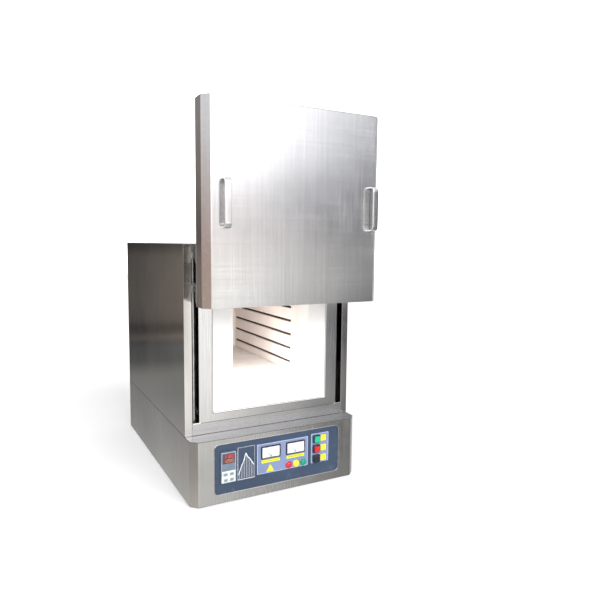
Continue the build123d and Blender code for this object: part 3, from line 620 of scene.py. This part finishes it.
softened("base_wrap", CABINET, fold_width=2.5 * MM, is_fold=front_corner)
softened("base_deck", CABINET, 0.8 * MM)
softened("door_shell", "door", 0.9 * MM, fold_width=2.5 * MM, is_fold=upright)
for node in ("left_side_panel", "right_side_panel", "top_panel", "front_sill", "mouth_frame"):
    softened(node, CABINET, 0.6 * MM)
for node in ("base_rear_panel", "rear_cover"):
    softened(node, CABINET, 0.4 * MM)
softened("door_back_pan", "door", 0.4 * MM)
softened("mouth_block", CABINET, 2.0 * MM)
for side in ("left", "right"):
    softened(f"lining_{side}", CABINET, 1.2 * MM)
    softened(f"door_arms_{side}", "door", 0.8 * MM)
    softened(f"counterweight_{side}", f"weight_{side}", 1.2 * MM)
    softened(f"handle_{side}", "door", 1.6 * MM)
softened("door_plug", "door", 3.0 * MM)
softened("button_holders", CABINET, 0.5 * MM)


def mouth_lip():
    """Rolled inner edge of the stainless mouth frame, just proud of its face."""
    low, high = front_face("mouth_block")
    grow = 3.7 * MM
    half_x, half_z = (high.x - low.x) / 2 + grow, (high.z - low.z) / 2 + grow
    middle = ((low.x + high.x) / 2, (low.z + high.z) / 2)
    bm = bmesh.new()
    path = rounded_rectangle(half_x, half_z, 6 * MM, middle, low.y + 1.4 * MM)
    tube(bm, path, 2.6 * MM, 12, closed=True)
    as_piece("mouth_lip", bm, HANDLE_STEEL, smooth=60)


def painted_joint_shade():
    """Painted shade: dark beads in the joints of the sill and along the foot and the roof edge of the
    casing, standing for the shade in the gaps.
    """
    bm = bmesh.new()
    sill, guard, casing = Span("front_sill"), Span("mouth_frame"), Span("left_side_panel")
    bead, fine_bead = 1.1 * MM, 0.7 * MM
    y = sill.low.y + 0.1 * MM
    for z, reach, radius in ((sill.low.z, sill.high.x, bead), (sill.high.z, guard.high.x, fine_bead)):
        tube(bm, [Vector((x, y, z)) for x in (-reach, reach)], radius)
    edge = casing.low.x + bead
    for side in (-1, 1):
        for z in (casing.low.z, casing.high.z):
            path = [Vector((side * -edge, y, z)) for y in (casing.low.y, casing.high.y)]
            tube(bm, path, bead)
    as_piece("painted_joint_shade", bm, INK_AND_PAINTED_SHADE, smooth=60)


def door_painted_edge_shade():
    """Painted shade: a fine near-black steel line along the folded top edge of the door skin."""
    y, z = DOOR.low.y + 0.4 * MM, DOOR.high.z - 0.9 * MM
    bm = bmesh.new()
    tube(bm, [Vector((corner.x, y, z)) for corner in front_face("door_shell")], 0.7 * MM)
    as_piece("door_painted_edge_shade", bm, PAINTED_EDGE_SHADE, "door", smooth=60)


def slot_stops():
    """Small bent tabs that close the foot of each slot."""
    bm = bmesh.new()
    sill, guard = Span("front_sill"), Span("mouth_frame")
    for side in (-1, 1):
        low, high = sorted((side * (guard.high.x - 6 * MM), side * (sill.high.x - 0.5 * MM)))
        made = slab(
            bm,
            (low, sill.low.y - 1.2 * MM, sill.high.z - 3 * MM),
            (high, sill.low.y + 1.0 * MM, sill.high.z + 2.5 * MM),
        )
        edges = list({edge for vertex in made for edge in vertex.link_edges})
        bevel(bm, edges, 0.8 * MM)
    as_piece("slot_stops", bm, HANDLE_STEEL)


def hood(bm, left, right, low, high, face, standing=False):
    """Adds one pressed louvre hood: a thin shell that bulges over its slot and opens on one side."""
    steps_along, steps_across = 20, 6
    depth, skin = 6 * MM, 0.8 * MM

    def at(u, v, reach):
        taper = max(0.0, 1 - abs(u) ** 5) ** 0.5
        out = face + reach * taper * math.sin(v * math.pi / 2)
        along, across = (left + right) / 2 + u * (right - left) / 2, high - v * (high - low)
        return Vector((across, out, along) if standing else (along, out, across))

    layers = []
    for reach in (depth, depth - skin):
        grid = []
        for i in range(steps_along + 1):
            u = 2 * i / steps_along - 1
            grid.append([bm.verts.new(at(u, j / steps_across, reach)) for j in range(steps_across + 1)])
        layers.append(grid)
    outer, inner = layers
    for grid, flip in ((outer, 1), (inner, -1)):
        for i in range(steps_along):
            for j in range(steps_across):
                loop = [grid[i][j], grid[i + 1][j], grid[i + 1][j + 1], grid[i][j + 1]]
                bm.faces.new(loop[::flip])
    rim = [(i, 0) for i in range(steps_along)]
    rim += [(steps_along, j) for j in range(steps_across)]
    rim += [(i, steps_across) for i in range(steps_along, 0, -1)]
    rim += [(0, j) for j in range(steps_across, 0, -1)]
    for (i, j), (k, m) in zip(rim, rim[1:] + rim[:1]):
        bm.faces.new((outer[i][j], inner[i][j], inner[k][m], outer[k][m]))


def slots_of(node):
    """Low and high corners of the slots cut through a rear panel, read from its mesh."""
    bm = mesh_of(node)
    face = Span(node).high.y - 0.1 * MM
    rims = {}
    for edge in bm.edges:
        walls = edge.link_faces
        on_face = all(vertex.co.y > face for vertex in edge.verts)
        if on_face and len(walls) == 2 and abs(walls[0].normal.dot(walls[1].normal)) < 0.5:
            for vertex in edge.verts:
                rims.setdefault(vertex, []).append(edge)
    boxes = linked_boxes(rims)
    bm.free()
    return boxes


def louvre_hoods():
    """Pressed hoods over the vent slots of the two rear panels."""
    margin = 3 * MM
    for node in ("rear_cover", "base_rear_panel"):
        bm = bmesh.new()
        for low, high in slots_of(node):
            size = high - low
            if size.x > Span(node).size.x / 2:
                continue
            face = high.y - 0.3 * MM
            if size.x > 3 * size.z:
                hood(bm, low.x - margin, high.x + margin, low.z, high.z + margin, face)
            elif size.z > 3 * size.x:
                hood(bm, low.z - margin, high.z + margin, low.x, high.x + margin, face, True)
        as_piece(f"{node}_hoods", bm, LOOKS[node], smooth=50)


mouth_lip()
painted_joint_shade()
door_painted_edge_shade()
slot_stops()
louvre_hoods()


# ---- Heating coils ----------------------------------------------------------
def heating_coils():
    """Helical coils lying in the side grooves, with straight tails to the rear."""
    bm = bmesh.new()
    span = Span("heating_elements")
    groove = Span("lining_left")
    rod_radius, tail_radius = 3.8 * MM, 2.5 * MM
    pitch, wire, per_turn = 4.6 * MM, 1.2 * MM, 8
    radius = rod_radius + 0.5 * MM - wire
    first_z = span.low.z + rod_radius
    rows, rows_with_tail = 6, (1, 4)
    step = (span.size.z - 2 * rod_radius) / (rows - 1)
    start = span.low.y + 1 * MM
    end = groove.high.y - 3 * MM
    turns = int((end - start) / pitch)
    for side in (-1, 1):
        x = side * (span.high.x - rod_radius)
        for row in range(rows):
            z = first_z + row * step
            path = []
            for i in range(turns * per_turn + 1):
                angle = 2 * math.pi * i / per_turn
                off_x, off_z = radius * math.cos(angle), radius * math.sin(angle)
                path.append(Vector((x + off_x, start + pitch * i / per_turn, z + off_z)))
            tube(bm, path, wire, 5)
            if row in rows_with_tail:
                tube(bm, [Vector((x, end, z)), Vector((x, span.high.y, z))], tail_radius, 10)
    piece = as_piece("heating_coils", bm, LOOKS["heating_elements"], CABINET, 60)
    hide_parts("heating_elements")


heating_coils()


# ---- Control panel details --------------------------------------------------
def panel_lip():
    """Bright rolled bead round the panel cut-out."""
    bm = bmesh.new()
    half_x, half_z = PANEL.high.x - 6.5 * MM, PANEL.size.z / 2 - 6 * MM
    path = rounded_rectangle(half_x, half_z, 15 * MM, (0, PANEL.middle.z), FRONT_Y)
    tube(bm, path, 1.2 * MM, 10, closed=True)
    as_piece("panel_lip", bm, LIP_STEEL, smooth=60)


panel_lip()


def firing_curve():
    """White printed firing curve with its axes, frame and shading lines."""
    controller, plates = Span("temperature_controller"), Span("instrument_plates")
    x0, x1 = controller.high.x + 9 * MM, plates.low.x - 8 * MM
    z0, z1 = plates.low.z - 4 * MM, plates.high.z - 4 * MM
    y = PANEL_FACE

    def at(u, v):
        return (x0 + u * (x1 - x0), z0 + v * (z1 - z0))

    def line(start, end, width):
        ribbon(bm, at(*start), at(*end), width * MM, y)

    bm = bmesh.new()
    line((0, 0), (0, 1), 0.9)
    line((-0.02, 0), (1, 0), 1.5)
    line((0, 1), (1, 1), 0.5)
    line((1, 0), (1, 1), 0.5)
    curve = [(0.04, 0.16), (0.24, 0.46), (0.3, 0.5), (0.48, 0.81), (0.6, 0.66), (0.7, 0.62), (0.95, 0.4)]
    for a, b in zip(curve, curve[1:]):
        line(a, b, 2.0)
    gap, shading_lines = 0.03, 9
    for mark in range(1, shading_lines + 1):
        u = mark / (shading_lines + 1)
        for (ua, va), (ub, vb) in zip(curve, curve[1:]):
            if ua <= u < ub:
                line((u, gap), (u, va + (vb - va) * (u - ua) / (ub - ua) - gap), 0.7)
    for tick in range(1, 6):
        line((-0.05, tick / 6), (0, tick / 6), 0.8)
    as_piece("firing_curve", bm, WHITE_PRINT)


firing_curve()


def panel_print():
    """Pale borders of the two instrument plates and plain marks on the yellow plates."""
    plates = islands("instrument_plates")
    y = plates[0][0].y
    borders = bmesh.new()
    inset = 1.6 * MM
    for low, high in plates:
        outline(borders, low, high, inset, 1.1 * MM, y)
    as_piece("plate_borders", borders, plastic("border_pale", (0.5, 0.56, 0.68), 0.5))
    marks = bmesh.new()
    for low, high in islands("legend_plates"):
        middle, face = (low + high) / 2, low.y
        width, height = high.x - low.x, high.z - low.z
        if width > 3 * height:
            for part in range(-3, 4):
                x, z = middle.x + part * width / 8, middle.z
                ribbon(marks, (x - 3.0 * MM, z), (x + 2.4 * MM, z), 2.6 * MM, face)
        elif abs(width - height) < 1 * MM:
            for part, half in ((0.3, 3.5 * MM), (-0.3, 3 * MM)):
                x, z = middle.x + part * width, low.z - 2.6 * MM
                ribbon(marks, (x - half, z), (x + half, z), 1.4 * MM, y)
    as_piece("legend_marks", marks, paint("legend_ink", (0.3, 0.13, 0.03), 0.6))


panel_print()

SEGMENTS = {"0": "abcdef", "1": "bc", "2": "abged", "8": "abcdefg"}
SEGMENT_ENDS = {
    "a": ((0, 2), (1, 2)),
    "b": ((1, 2), (1, 1)),
    "c": ((1, 1), (1, 0)),
    "d": ((0, 0), (1, 0)),
    "e": ((0, 1), (0, 0)),
    "f": ((0, 2), (0, 1)),
    "g": ((0, 1), (1, 1)),
}


def seven_segment(bm, text, left, bottom, width, height, pitch, y):
    """Adds lit bars for the digits of a numeric display."""
    slant = 0.12
    for place, digit in enumerate(text):
        for bar in SEGMENTS[digit]:
            points = []
            for u, v in SEGMENT_ENDS[bar]:
                z = bottom + v * height / 2
                x = left + place * pitch + u * width + slant * (z - bottom)
                points.append(Vector((x, z)))
            gap = (points[1] - points[0]).normalized() * 0.35 * MM
            ribbon(bm, points[0] + gap, points[1] - gap, 1.1 * MM, y, 0.12 * MM)


CONTROLLER = Span("temperature_controller")
KEYS = [Span(f"controller_key_{number}") for number in range(1, 5)]


def display_line(name, tone, bottom, height, text):
    """One line of lit digits in the controller's window."""
    window = Span("controller_display")
    left, low = window.low.x + 5 * MM, window.low.z + bottom
    bm = bmesh.new()
    seven_segment(bm, text, left, low, 5.2 * MM, height, 8.4 * MM, window.low.y)
    as_piece(name, bm, plastic(name + "_lit", tone, 0.4, glow=0.35))


def controller_rim():
    """Pale line round the controller's front."""
    rim = bmesh.new()
    outline(rim, CONTROLLER.low, CONTROLLER.high, 1.9 * MM, 1.3 * MM, CONTROLLER.low.y)
    as_piece("controller_rim", rim, plastic("rim_pale", (0.4, 0.46, 0.52), 0.4))


def keypad_field():
    """Pale field round the keys, a thin plate with a square hole for each key."""
    field = bmesh.new()
    margin, face = 3 * MM, CONTROLLER.low.y
    upper_left, upper_right, lower_left = KEYS[:3]
    columns = [CONTROLLER.low.x + margin, upper_left.low.x, upper_left.high.x]
    columns += [upper_right.low.x, upper_right.high.x, CONTROLLER.high.x - margin]
    rows = [CONTROLLER.low.z + margin, lower_left.low.z, lower_left.high.z]
    rows += [upper_left.low.z, upper_left.high.z, upper_left.high.z + 2 * margin]
    holes = (1, 3)
    cells = {(i, j) for i in range(5) for j in range(5) if not (i in holes and j in holes)}
    corners = {
        (i, j, k): field.verts.new((columns[i], y, rows[j]))
        for i in range(6)
        for j in range(6)
        for k, y in enumerate((face - 0.3 * MM, face + 0.02 * MM))
    }
    for i, j in cells:
        around = [(i, j), (i + 1, j), (i + 1, j + 1), (i, j + 1)]
        for k in (0, 1):
            field.faces.new([corners[(*place, k)] for place in around])
        beside = [(i, j - 1), (i + 1, j), (i, j + 1), (i - 1, j)]
        for place, (a, b) in zip(beside, zip(around, around[1:] + around[:1])):
            if place not in cells:
                field.faces.new([corners[key] for key in ((*a, 0), (*b, 0), (*b, 1), (*a, 1))])
    as_piece("keypad_field", field, plastic("keypad_white", (0.58, 0.64, 0.63), 0.45))


def key_arrow(key, number, pointing):
    """Printed arrow head on one key, pointing at an angle in degrees from +X."""
    bm = bmesh.new()
    size = 2.6 * MM
    points = []
    for corner in range(3):
        angle = math.radians(pointing + 120 * corner)
        x = key.middle.x + size * math.cos(angle)
        points.append((x, key.middle.z + size * math.sin(angle)))
    prism(bm, points, key.low.y - 0.15 * MM, key.low.y + 0.1 * MM)
    as_piece(f"key_arrow_{number}", bm, INK_AND_PAINTED_SHADE, f"key_{number}")


display_line("display_process", (0.7, 0.04, 0.06), 17.5 * MM, 10.5 * MM, "1180")
display_line("display_setpoint", (0.6, 0.2, 0.02), 4.5 * MM, 8.0 * MM, "1200")
controller_rim()
keypad_field()
for number, pointing in enumerate((90, -90, 180, 0), 1):
    key_arrow(KEYS[number - 1], number, pointing)


def meter_dial(side):
    """White dial card with its arc, ticks and numbers behind the needle."""
    case, needle = Span(f"meter_case_{side}"), Span(f"needle_{side}")
    pivot_z = needle.low.z + 2.6 * MM
    card_y = needle.high.y + 0.35 * MM
    border, radius, half_sweep, print_depth = 3.6 * MM, 25.5 * MM, 44, 0.1 * MM
    card = bmesh.new()
    slab(
        card,
        (case.low.x + border, card_y, case.low.z + border),
        (case.high.x - border, card_y + 0.5 * MM, case.high.z - border),
    )
    as_piece(f"dial_card_{side}", card, paint(f"dial_white_{side}", (0.76, 0.82, 0.82), 0.6))
    bm = bmesh.new()

    def on_arc(degrees, reach):
        angle = math.radians(degrees)
        return (case.middle.x - reach * math.sin(angle), pivot_z + reach * math.cos(angle))

    def sweep(steps):
        return [half_sweep - 2 * half_sweep * i / steps for i in range(steps + 1)]

    arc = sweep(24)
    for a, b in zip(arc, arc[1:]):
        ribbon(bm, on_arc(a, radius), on_arc(b, radius), 0.5 * MM, card_y, print_depth)
    for i, degrees in enumerate(sweep(20)):
        length, width = (3.4 * MM, 0.55 * MM) if i % 5 == 0 else (1.9 * MM, 0.3 * MM)
        foot, tip = on_arc(degrees, radius), on_arc(degrees, radius + length)
        ribbon(bm, foot, tip, width, card_y, print_depth)
    as_piece(f"dial_scale_{side}", bm, SCALE_INK)
    for value, degrees in (("0", half_sweep), ("50", 0), ("100", -half_sweep)):
        text = bpy.data.curves.new(f"dial_number_{side}_{value}", "FONT")
        text.body = value
        text.size = 4.2 * MM
        text.align_x = "CENTER"
        text.align_y = "CENTER"
        text.extrude = 0.05 * MM
        letters = bpy.data.objects.new(f"dial_number_{side}_{value}", text)
        bpy.context.scene.collection.objects.link(letters)
        x, z = on_arc(degrees * 0.92, radius - 3.2 * MM)
        letters.rotation_euler = (math.radians(90), 0, 0)
        letters.location = (x, card_y - 0.06 * MM, z)
        text.materials.append(SCALE_INK)
        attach(letters, CABINET)


for side in ("left", "right"):
    meter_dial(side)


def lamp_rings():
    """Thin bright bezels round the three lamps."""
    bm = bmesh.new()
    y = Span("instrument_plates").low.y - 1.2 * MM
    steps = 32
    for colour in ("red", "yellow", "green"):
        lamp = Span(f"lamp_{colour}")
        radius = lamp.size.x / 2 - 0.4 * MM
        path = []
        for step in range(steps):
            angle = 2 * math.pi * step / steps
            x, z = radius * math.cos(angle), radius * math.sin(angle)
            path.append(Vector((lamp.middle.x + x, y, lamp.middle.z + z)))
        tube(bm, path, 0.9 * MM, closed=True)
    as_piece("lamp_rings", bm, HANDLE_STEEL, smooth=60)


lamp_rings()


# ---- Studio -----------------------------------------------------------------
def studio_floor():
    """Pale floor, left out of reflections so that the steel mirrors the room below eye level."""
    bm = bmesh.new()
    bmesh.ops.create_grid(bm, x_segments=4, y_segments=4, size=14)
    floor = as_object("studio_floor", bm)
    floor.location.z = CAD_BOX[0].z
    look = Look("studio_floor", 0.8)
    look.mottle(look.noise(3), (0.92, 0.92, 0.92), (0.94, 0.94, 0.94))
    dress(floor, look.material)
    floor.visible_glossy = False


def backdrop():
    """White dome round the studio, seen by the camera only."""
    bm = bmesh.new()
    bmesh.ops.create_uvsphere(bm, u_segments=48, v_segments=24, radius=13)
    bmesh.ops.reverse_faces(bm, faces=bm.faces)
    dome = as_object("backdrop", bm)
    look = Look("backdrop", 1.0)
    look.shader.inputs["Emission Color"].default_value = (1, 1, 1, 1)
    look.shader.inputs["Emission Strength"].default_value = 1.0
    look.mottle(look.noise(2), (0.9, 0.9, 0.9), (0.92, 0.92, 0.92))
    dress(dome, look.material)
    for ray in ("diffuse", "glossy", "transmission", "shadow"):
        setattr(dome, f"visible_{ray}", False)


def aim(name, data, place, target):
    """Hangs a light that neither the camera nor a mirror sees."""
    light = bpy.data.objects.new(name, data)
    light.location = place
    light.rotation_euler = (Vector(target) - Vector(place)).to_track_quat("-Z", "Y").to_euler()
    light.visible_glossy = False
    light.visible_camera = False
    bpy.context.scene.collection.objects.link(light)


def soft_light(name, place, target, width, height, power):
    """An area light that shades the matt surfaces; the steel mirrors the room alone."""
    data = bpy.data.lights.new(name, "AREA")
    data.shape = "RECTANGLE"
    data.size, data.size_y = width, height
    data.energy = power
    aim(name, data, place, target)


def broad_light(name, place, strength, spread):
    """A far light with soft-edged shadows; its spread is in degrees."""
    data = bpy.data.lights.new(name, "SUN")
    data.energy = strength
    data.angle = math.radians(spread)
    aim(name, data, place, (0, 0, 0.4))


def full_colour(tone):
    """Colour with alpha from a tone, which is one grey value or three values."""
    return (tone, tone, tone, 1) if isinstance(tone, float) else (*tone, 1)


class Room(Graph):
    """World shader: a plain room that is brightest to the front left and darker behind."""

    def __init__(self):
        world = bpy.data.worlds.new("room")
        bpy.context.scene.world = world
        world.use_nodes = True
        super().__init__(world.node_tree)
        split = self.add("ShaderNodeSeparateXYZ")
        self.join(self.add("ShaderNodeTexCoord").outputs["Generated"], split.inputs[0])
        self.x, self.y, self.z = split.outputs

    def step(self, value, start, end):
        """Smooth change from 0 at the start to 1 at the end."""
        return self.remap(value, 0, 1, start, end, "SMOOTHSTEP")

    def levels(self, value, start, end, *stops):
        """Colour ramp over a direction value, from (place, tone) stops."""
        ramp = self.add("ShaderNodeValToRGB")
        points = ramp.color_ramp.elements
        for count, (place, tone) in enumerate(stops):
            position = (place - start) / (end - start)
            point = points[count] if count < 2 else points.new(position)
            point.position, point.color = position, full_colour(tone)
        self.join(self.remap(value, 0, 1, start, end), ramp.inputs["Fac"])
        return ramp.outputs["Color"]

    def by_height(self, *stops):
        """Tones by how far up or down a direction points, 0 being level."""
        return self.levels(self.z, -0.6, 0.6, *stops)

    def by_side(self, *stops):
        """Tones by how far to the right a direction points."""
        return self.levels(self.x, 0.2, 0.7, *stops)

    def scaled(self, tone, factor):
        """One tone multiplied by another."""
        node = self.add("ShaderNodeMix", data_type="RGBA", blend_type="MULTIPLY")
        node.inputs["Factor"].default_value = 1
        self.join(tone, node.inputs["A"])
        self.join(factor, node.inputs["B"])
        return node.outputs["Result"]

    def ahead(self):
        """What the front of the kiln mirrors: tones by height, scaled by tones from left to right."""
        tones = self.by_height(
            (-0.5, (0.42, 0.415, 0.4)),
            (-0.4, (0.55, 0.54, 0.52)),
            (-0.3, (0.98, 0.97, 0.94)),
            (-0.2, (1.5, 1.49, 1.46)),
            (-0.08, (1.78, 1.77, 1.72)),
            (-0.045, (1.88, 1.87, 1.81)),
            (-0.005, (1.15, 1.12, 1.1)),
            (0.05, (0.94, 0.95, 0.97)),
            (0.08, (1.12, 1.13, 1.15)),
            (0.11, (1.75, 1.76, 1.78)),
            (0.16, (3.4, 3.4, 3.43)),
        )
        # From left to right above the eye line, below it, beside the mouth and at the base.
        across_high = self.by_side(
            (0.26, 1.2),
            (0.36, (0.84, 0.83, 0.83)),
            (0.43, (0.58, 0.58, 0.59)),
            (0.5, (0.4, 0.405, 0.42)),
            (0.535, (0.215, 0.222, 0.237)),
            (0.55, (0.165, 0.17, 0.183)),
            (0.575, (0.11, 0.115, 0.125)),
            (0.62, (0.09, 0.094, 0.102)),
        )
        across_low = self.by_side(
            (0.26, (1.45, 1.46, 1.43)),
            (0.36, (0.99, 0.99, 0.97)),
            (0.43, (0.63, 0.63, 0.62)),
            (0.55, (0.31, 0.31, 0.315)),
            (0.6, (0.155, 0.155, 0.16)),
            (0.64, (0.1, 0.1, 0.11)),
        )
        across_mouth = self.by_side(
            (0.26, 1.38),
            (0.34, (1.09, 1.09, 1.1)),
            (0.37, (0.77, 0.77, 0.78)),
            (0.41, (0.52, 0.52, 0.53)),
            (0.46, (0.25, 0.25, 0.265)),
            (0.495, (0.08, 0.08, 0.09)),
            (0.56, (0.05, 0.05, 0.058)),
        )
        mouth_band = self.by_height(
            (-0.38, 0.0), (-0.35, 0.8), (-0.31, 0.6), (-0.26, 0.35),
            (-0.2, 0.75), (-0.16, 1.0), (-0.12, 1.0), (-0.09, 0.0),
        )
        across_foot = self.by_side(
            (0.26, (1.75, 1.75, 1.77)),
            (0.36, (1.2, 1.21, 1.24)),
            (0.43, (0.86, 0.87, 0.9)),
            (0.5, (0.6, 0.61, 0.63)),
            (0.6, (0.38, 0.385, 0.4)),
        )
        across = self.blend(self.step(self.z, -0.03, 0.03), across_low, across_high)
        across = self.blend(mouth_band, across, across_mouth)
        across = self.blend(self.step(self.z, -0.37, -0.41), across, across_foot)
        # Far left, which the flange beside the slot mirrors.
        slot_side = self.by_height(
            (-0.3, 1.0),
            (-0.25, (0.85, 0.84, 0.82)),
            (-0.21, (0.6, 0.59, 0.58)),
            (-0.14, (0.47, 0.46, 0.44)),
            (-0.11, (0.42, 0.4, 0.38)),
            (-0.093, (0.36, 0.34, 0.32)),
            (-0.066, 0.25),
            (-0.04, (0.4, 0.39, 0.38)),
            (-0.01, (0.86, 0.84, 0.82)),
            (0.02, 1.0),
        )
        across = self.blend(self.step(self.x, 0.31, 0.302), across, self.scaled(across, slot_side))
        blush = self.by_height((-0.03, 0.0), (0.0, 1.0), (0.06, 1.0), (0.1, 0.0))
        near_left = self.blend(self.step(self.x, 0.46, 0.38), (1.0, 1.0, 1.0), (1.1, 1.0, 0.98))
        across = self.blend(blush, across, self.scaled(across, near_left))
        return self.scaled(tones, across)

    def behind(self):
        """What the left side mirrors: dim tones by height, a little brighter towards the rear."""
        gloom = self.by_height(
            (-0.45, (0.6, 0.6, 0.57)),
            (-0.38, (0.48, 0.475, 0.45)),
            (-0.31, (0.35, 0.35, 0.345)),
            (-0.263, (0.265, 0.263, 0.255)),
            (-0.228, (0.245, 0.243, 0.23)),
            (-0.205, (0.12, 0.118, 0.114)),
            (-0.181, (0.115, 0.118, 0.122)),
            (-0.173, (0.09, 0.085, 0.082)),
            (-0.165, (0.19, 0.165, 0.15)),
            (-0.158, (0.085, 0.076, 0.068)),
            (-0.146, (0.06, 0.053, 0.049)),
            (-0.138, (0.125, 0.112, 0.103)),
            (-0.12, (0.135, 0.122, 0.11)),
            (-0.024, (0.135, 0.122, 0.11)),
            (-0.008, (0.06, 0.056, 0.053)),
            (0.01, (0.06, 0.056, 0.053)),
            (0.1, (0.14, 0.125, 0.115)),
            (0.25, (0.2, 0.195, 0.195)),
        )
        rearward = self.levels(
            self.x, -0.35, 0.0,
            (-0.3, (1.8, 1.7, 1.62)),
            (-0.282, (1.58, 1.52, 1.45)),
            (-0.266, (1.4, 1.35, 1.3)),
            (-0.245, (0.93, 0.94, 0.95)),
            (-0.223, (0.74, 0.76, 0.78)),
            (-0.2, (0.58, 0.6, 0.62)),
        )
        even = self.blend(self.step(self.z, -0.16, -0.25), rearward, (1.0, 1.0, 1.0))
        gloom = self.scaled(gloom, even)
        return self.blend(self.step(self.x, -0.02, 0.5), gloom, (0.6, 0.6, 0.6))

    def beside(self):
        """What the left side of the door mirrors: warm tones by height."""
        return self.by_height(
            (-0.46, (0.75, 0.7, 0.65)),
            (-0.36, (0.42, 0.39, 0.36)),
            (-0.1, (0.56, 0.43, 0.35)),
            (-0.048, (0.55, 0.38, 0.31)),
            (0.006, (0.58, 0.45, 0.41)),
            (0.06, (0.6, 0.49, 0.46)),
            (0.113, (0.74, 0.68, 0.65)),
            (0.167, (0.875, 0.85, 0.835)),
            (0.257, (1.02, 1.03, 1.08)),
        )

    def paint(self):
        """Joins the parts of the room: behind, ahead, left, right and overhead."""
        room = self.blend(self.step(self.y, 0.25, -0.45), self.behind(), self.ahead())
        room = self.blend(self.step(self.x, -0.4, -0.85), room, self.beside())
        room = self.blend(self.step(self.x, 0.75, 0.95), room, (0.6, 0.6, 0.61))
        room = self.blend(self.step(self.z, 0.5, 0.8), room, (1.0, 1.0, 1.0))
        self.join(room, self.tree.nodes["Background"].inputs["Color"])


studio_floor()
backdrop()
Room().paint()
broad_light("key", (0.5, -1.5, 1.5), 1.3, 40)
MOUTH = Span("mouth_block").low
MOUTH_INSIDE = (0, MOUTH.y + 0.03, MOUTH.z + 0.11)
soft_light("mouth_fill", MOUTH_INSIDE, (0.02, MOUTH.y + 0.4, MOUTH.z), 0.22, 0.05, 1.2)


# ---- Camera -----------------------------------------------------------------
PAN, TILT, ROLL = 0.4952, 0.1018, 0.0106  # radians; pan is from +Y towards +X, tilt is down
EYE = (-0.7924, FRONT_Y - 1.5958, 0.8216)
LENS, SENSOR = 33.46, 36


def photo_camera():
    """Camera at the photo's place and angle."""
    level = Vector((math.sin(PAN), math.cos(PAN), 0))
    forward = level * math.cos(TILT) - Vector((0, 0, math.sin(TILT)))
    right = Vector((math.cos(PAN), -math.sin(PAN), 0))
    up = right.cross(forward)
    tilted_right = right * math.cos(ROLL) + up * math.sin(ROLL)
    tilted_up = up * math.cos(ROLL) - right * math.sin(ROLL)
    data = bpy.data.cameras.new("camera")
    data.lens = LENS
    data.sensor_width = SENSOR
    camera = bpy.data.objects.new("camera", data)
    turn = Matrix((tilted_right, tilted_up, -forward)).transposed().to_4x4()
    camera.matrix_world = Matrix.Translation(EYE) @ turn
    bpy.context.scene.collection.objects.link(camera)
    bpy.context.scene.camera = camera


photo_camera()
bpy.context.scene.view_settings.view_transform = "Standard"
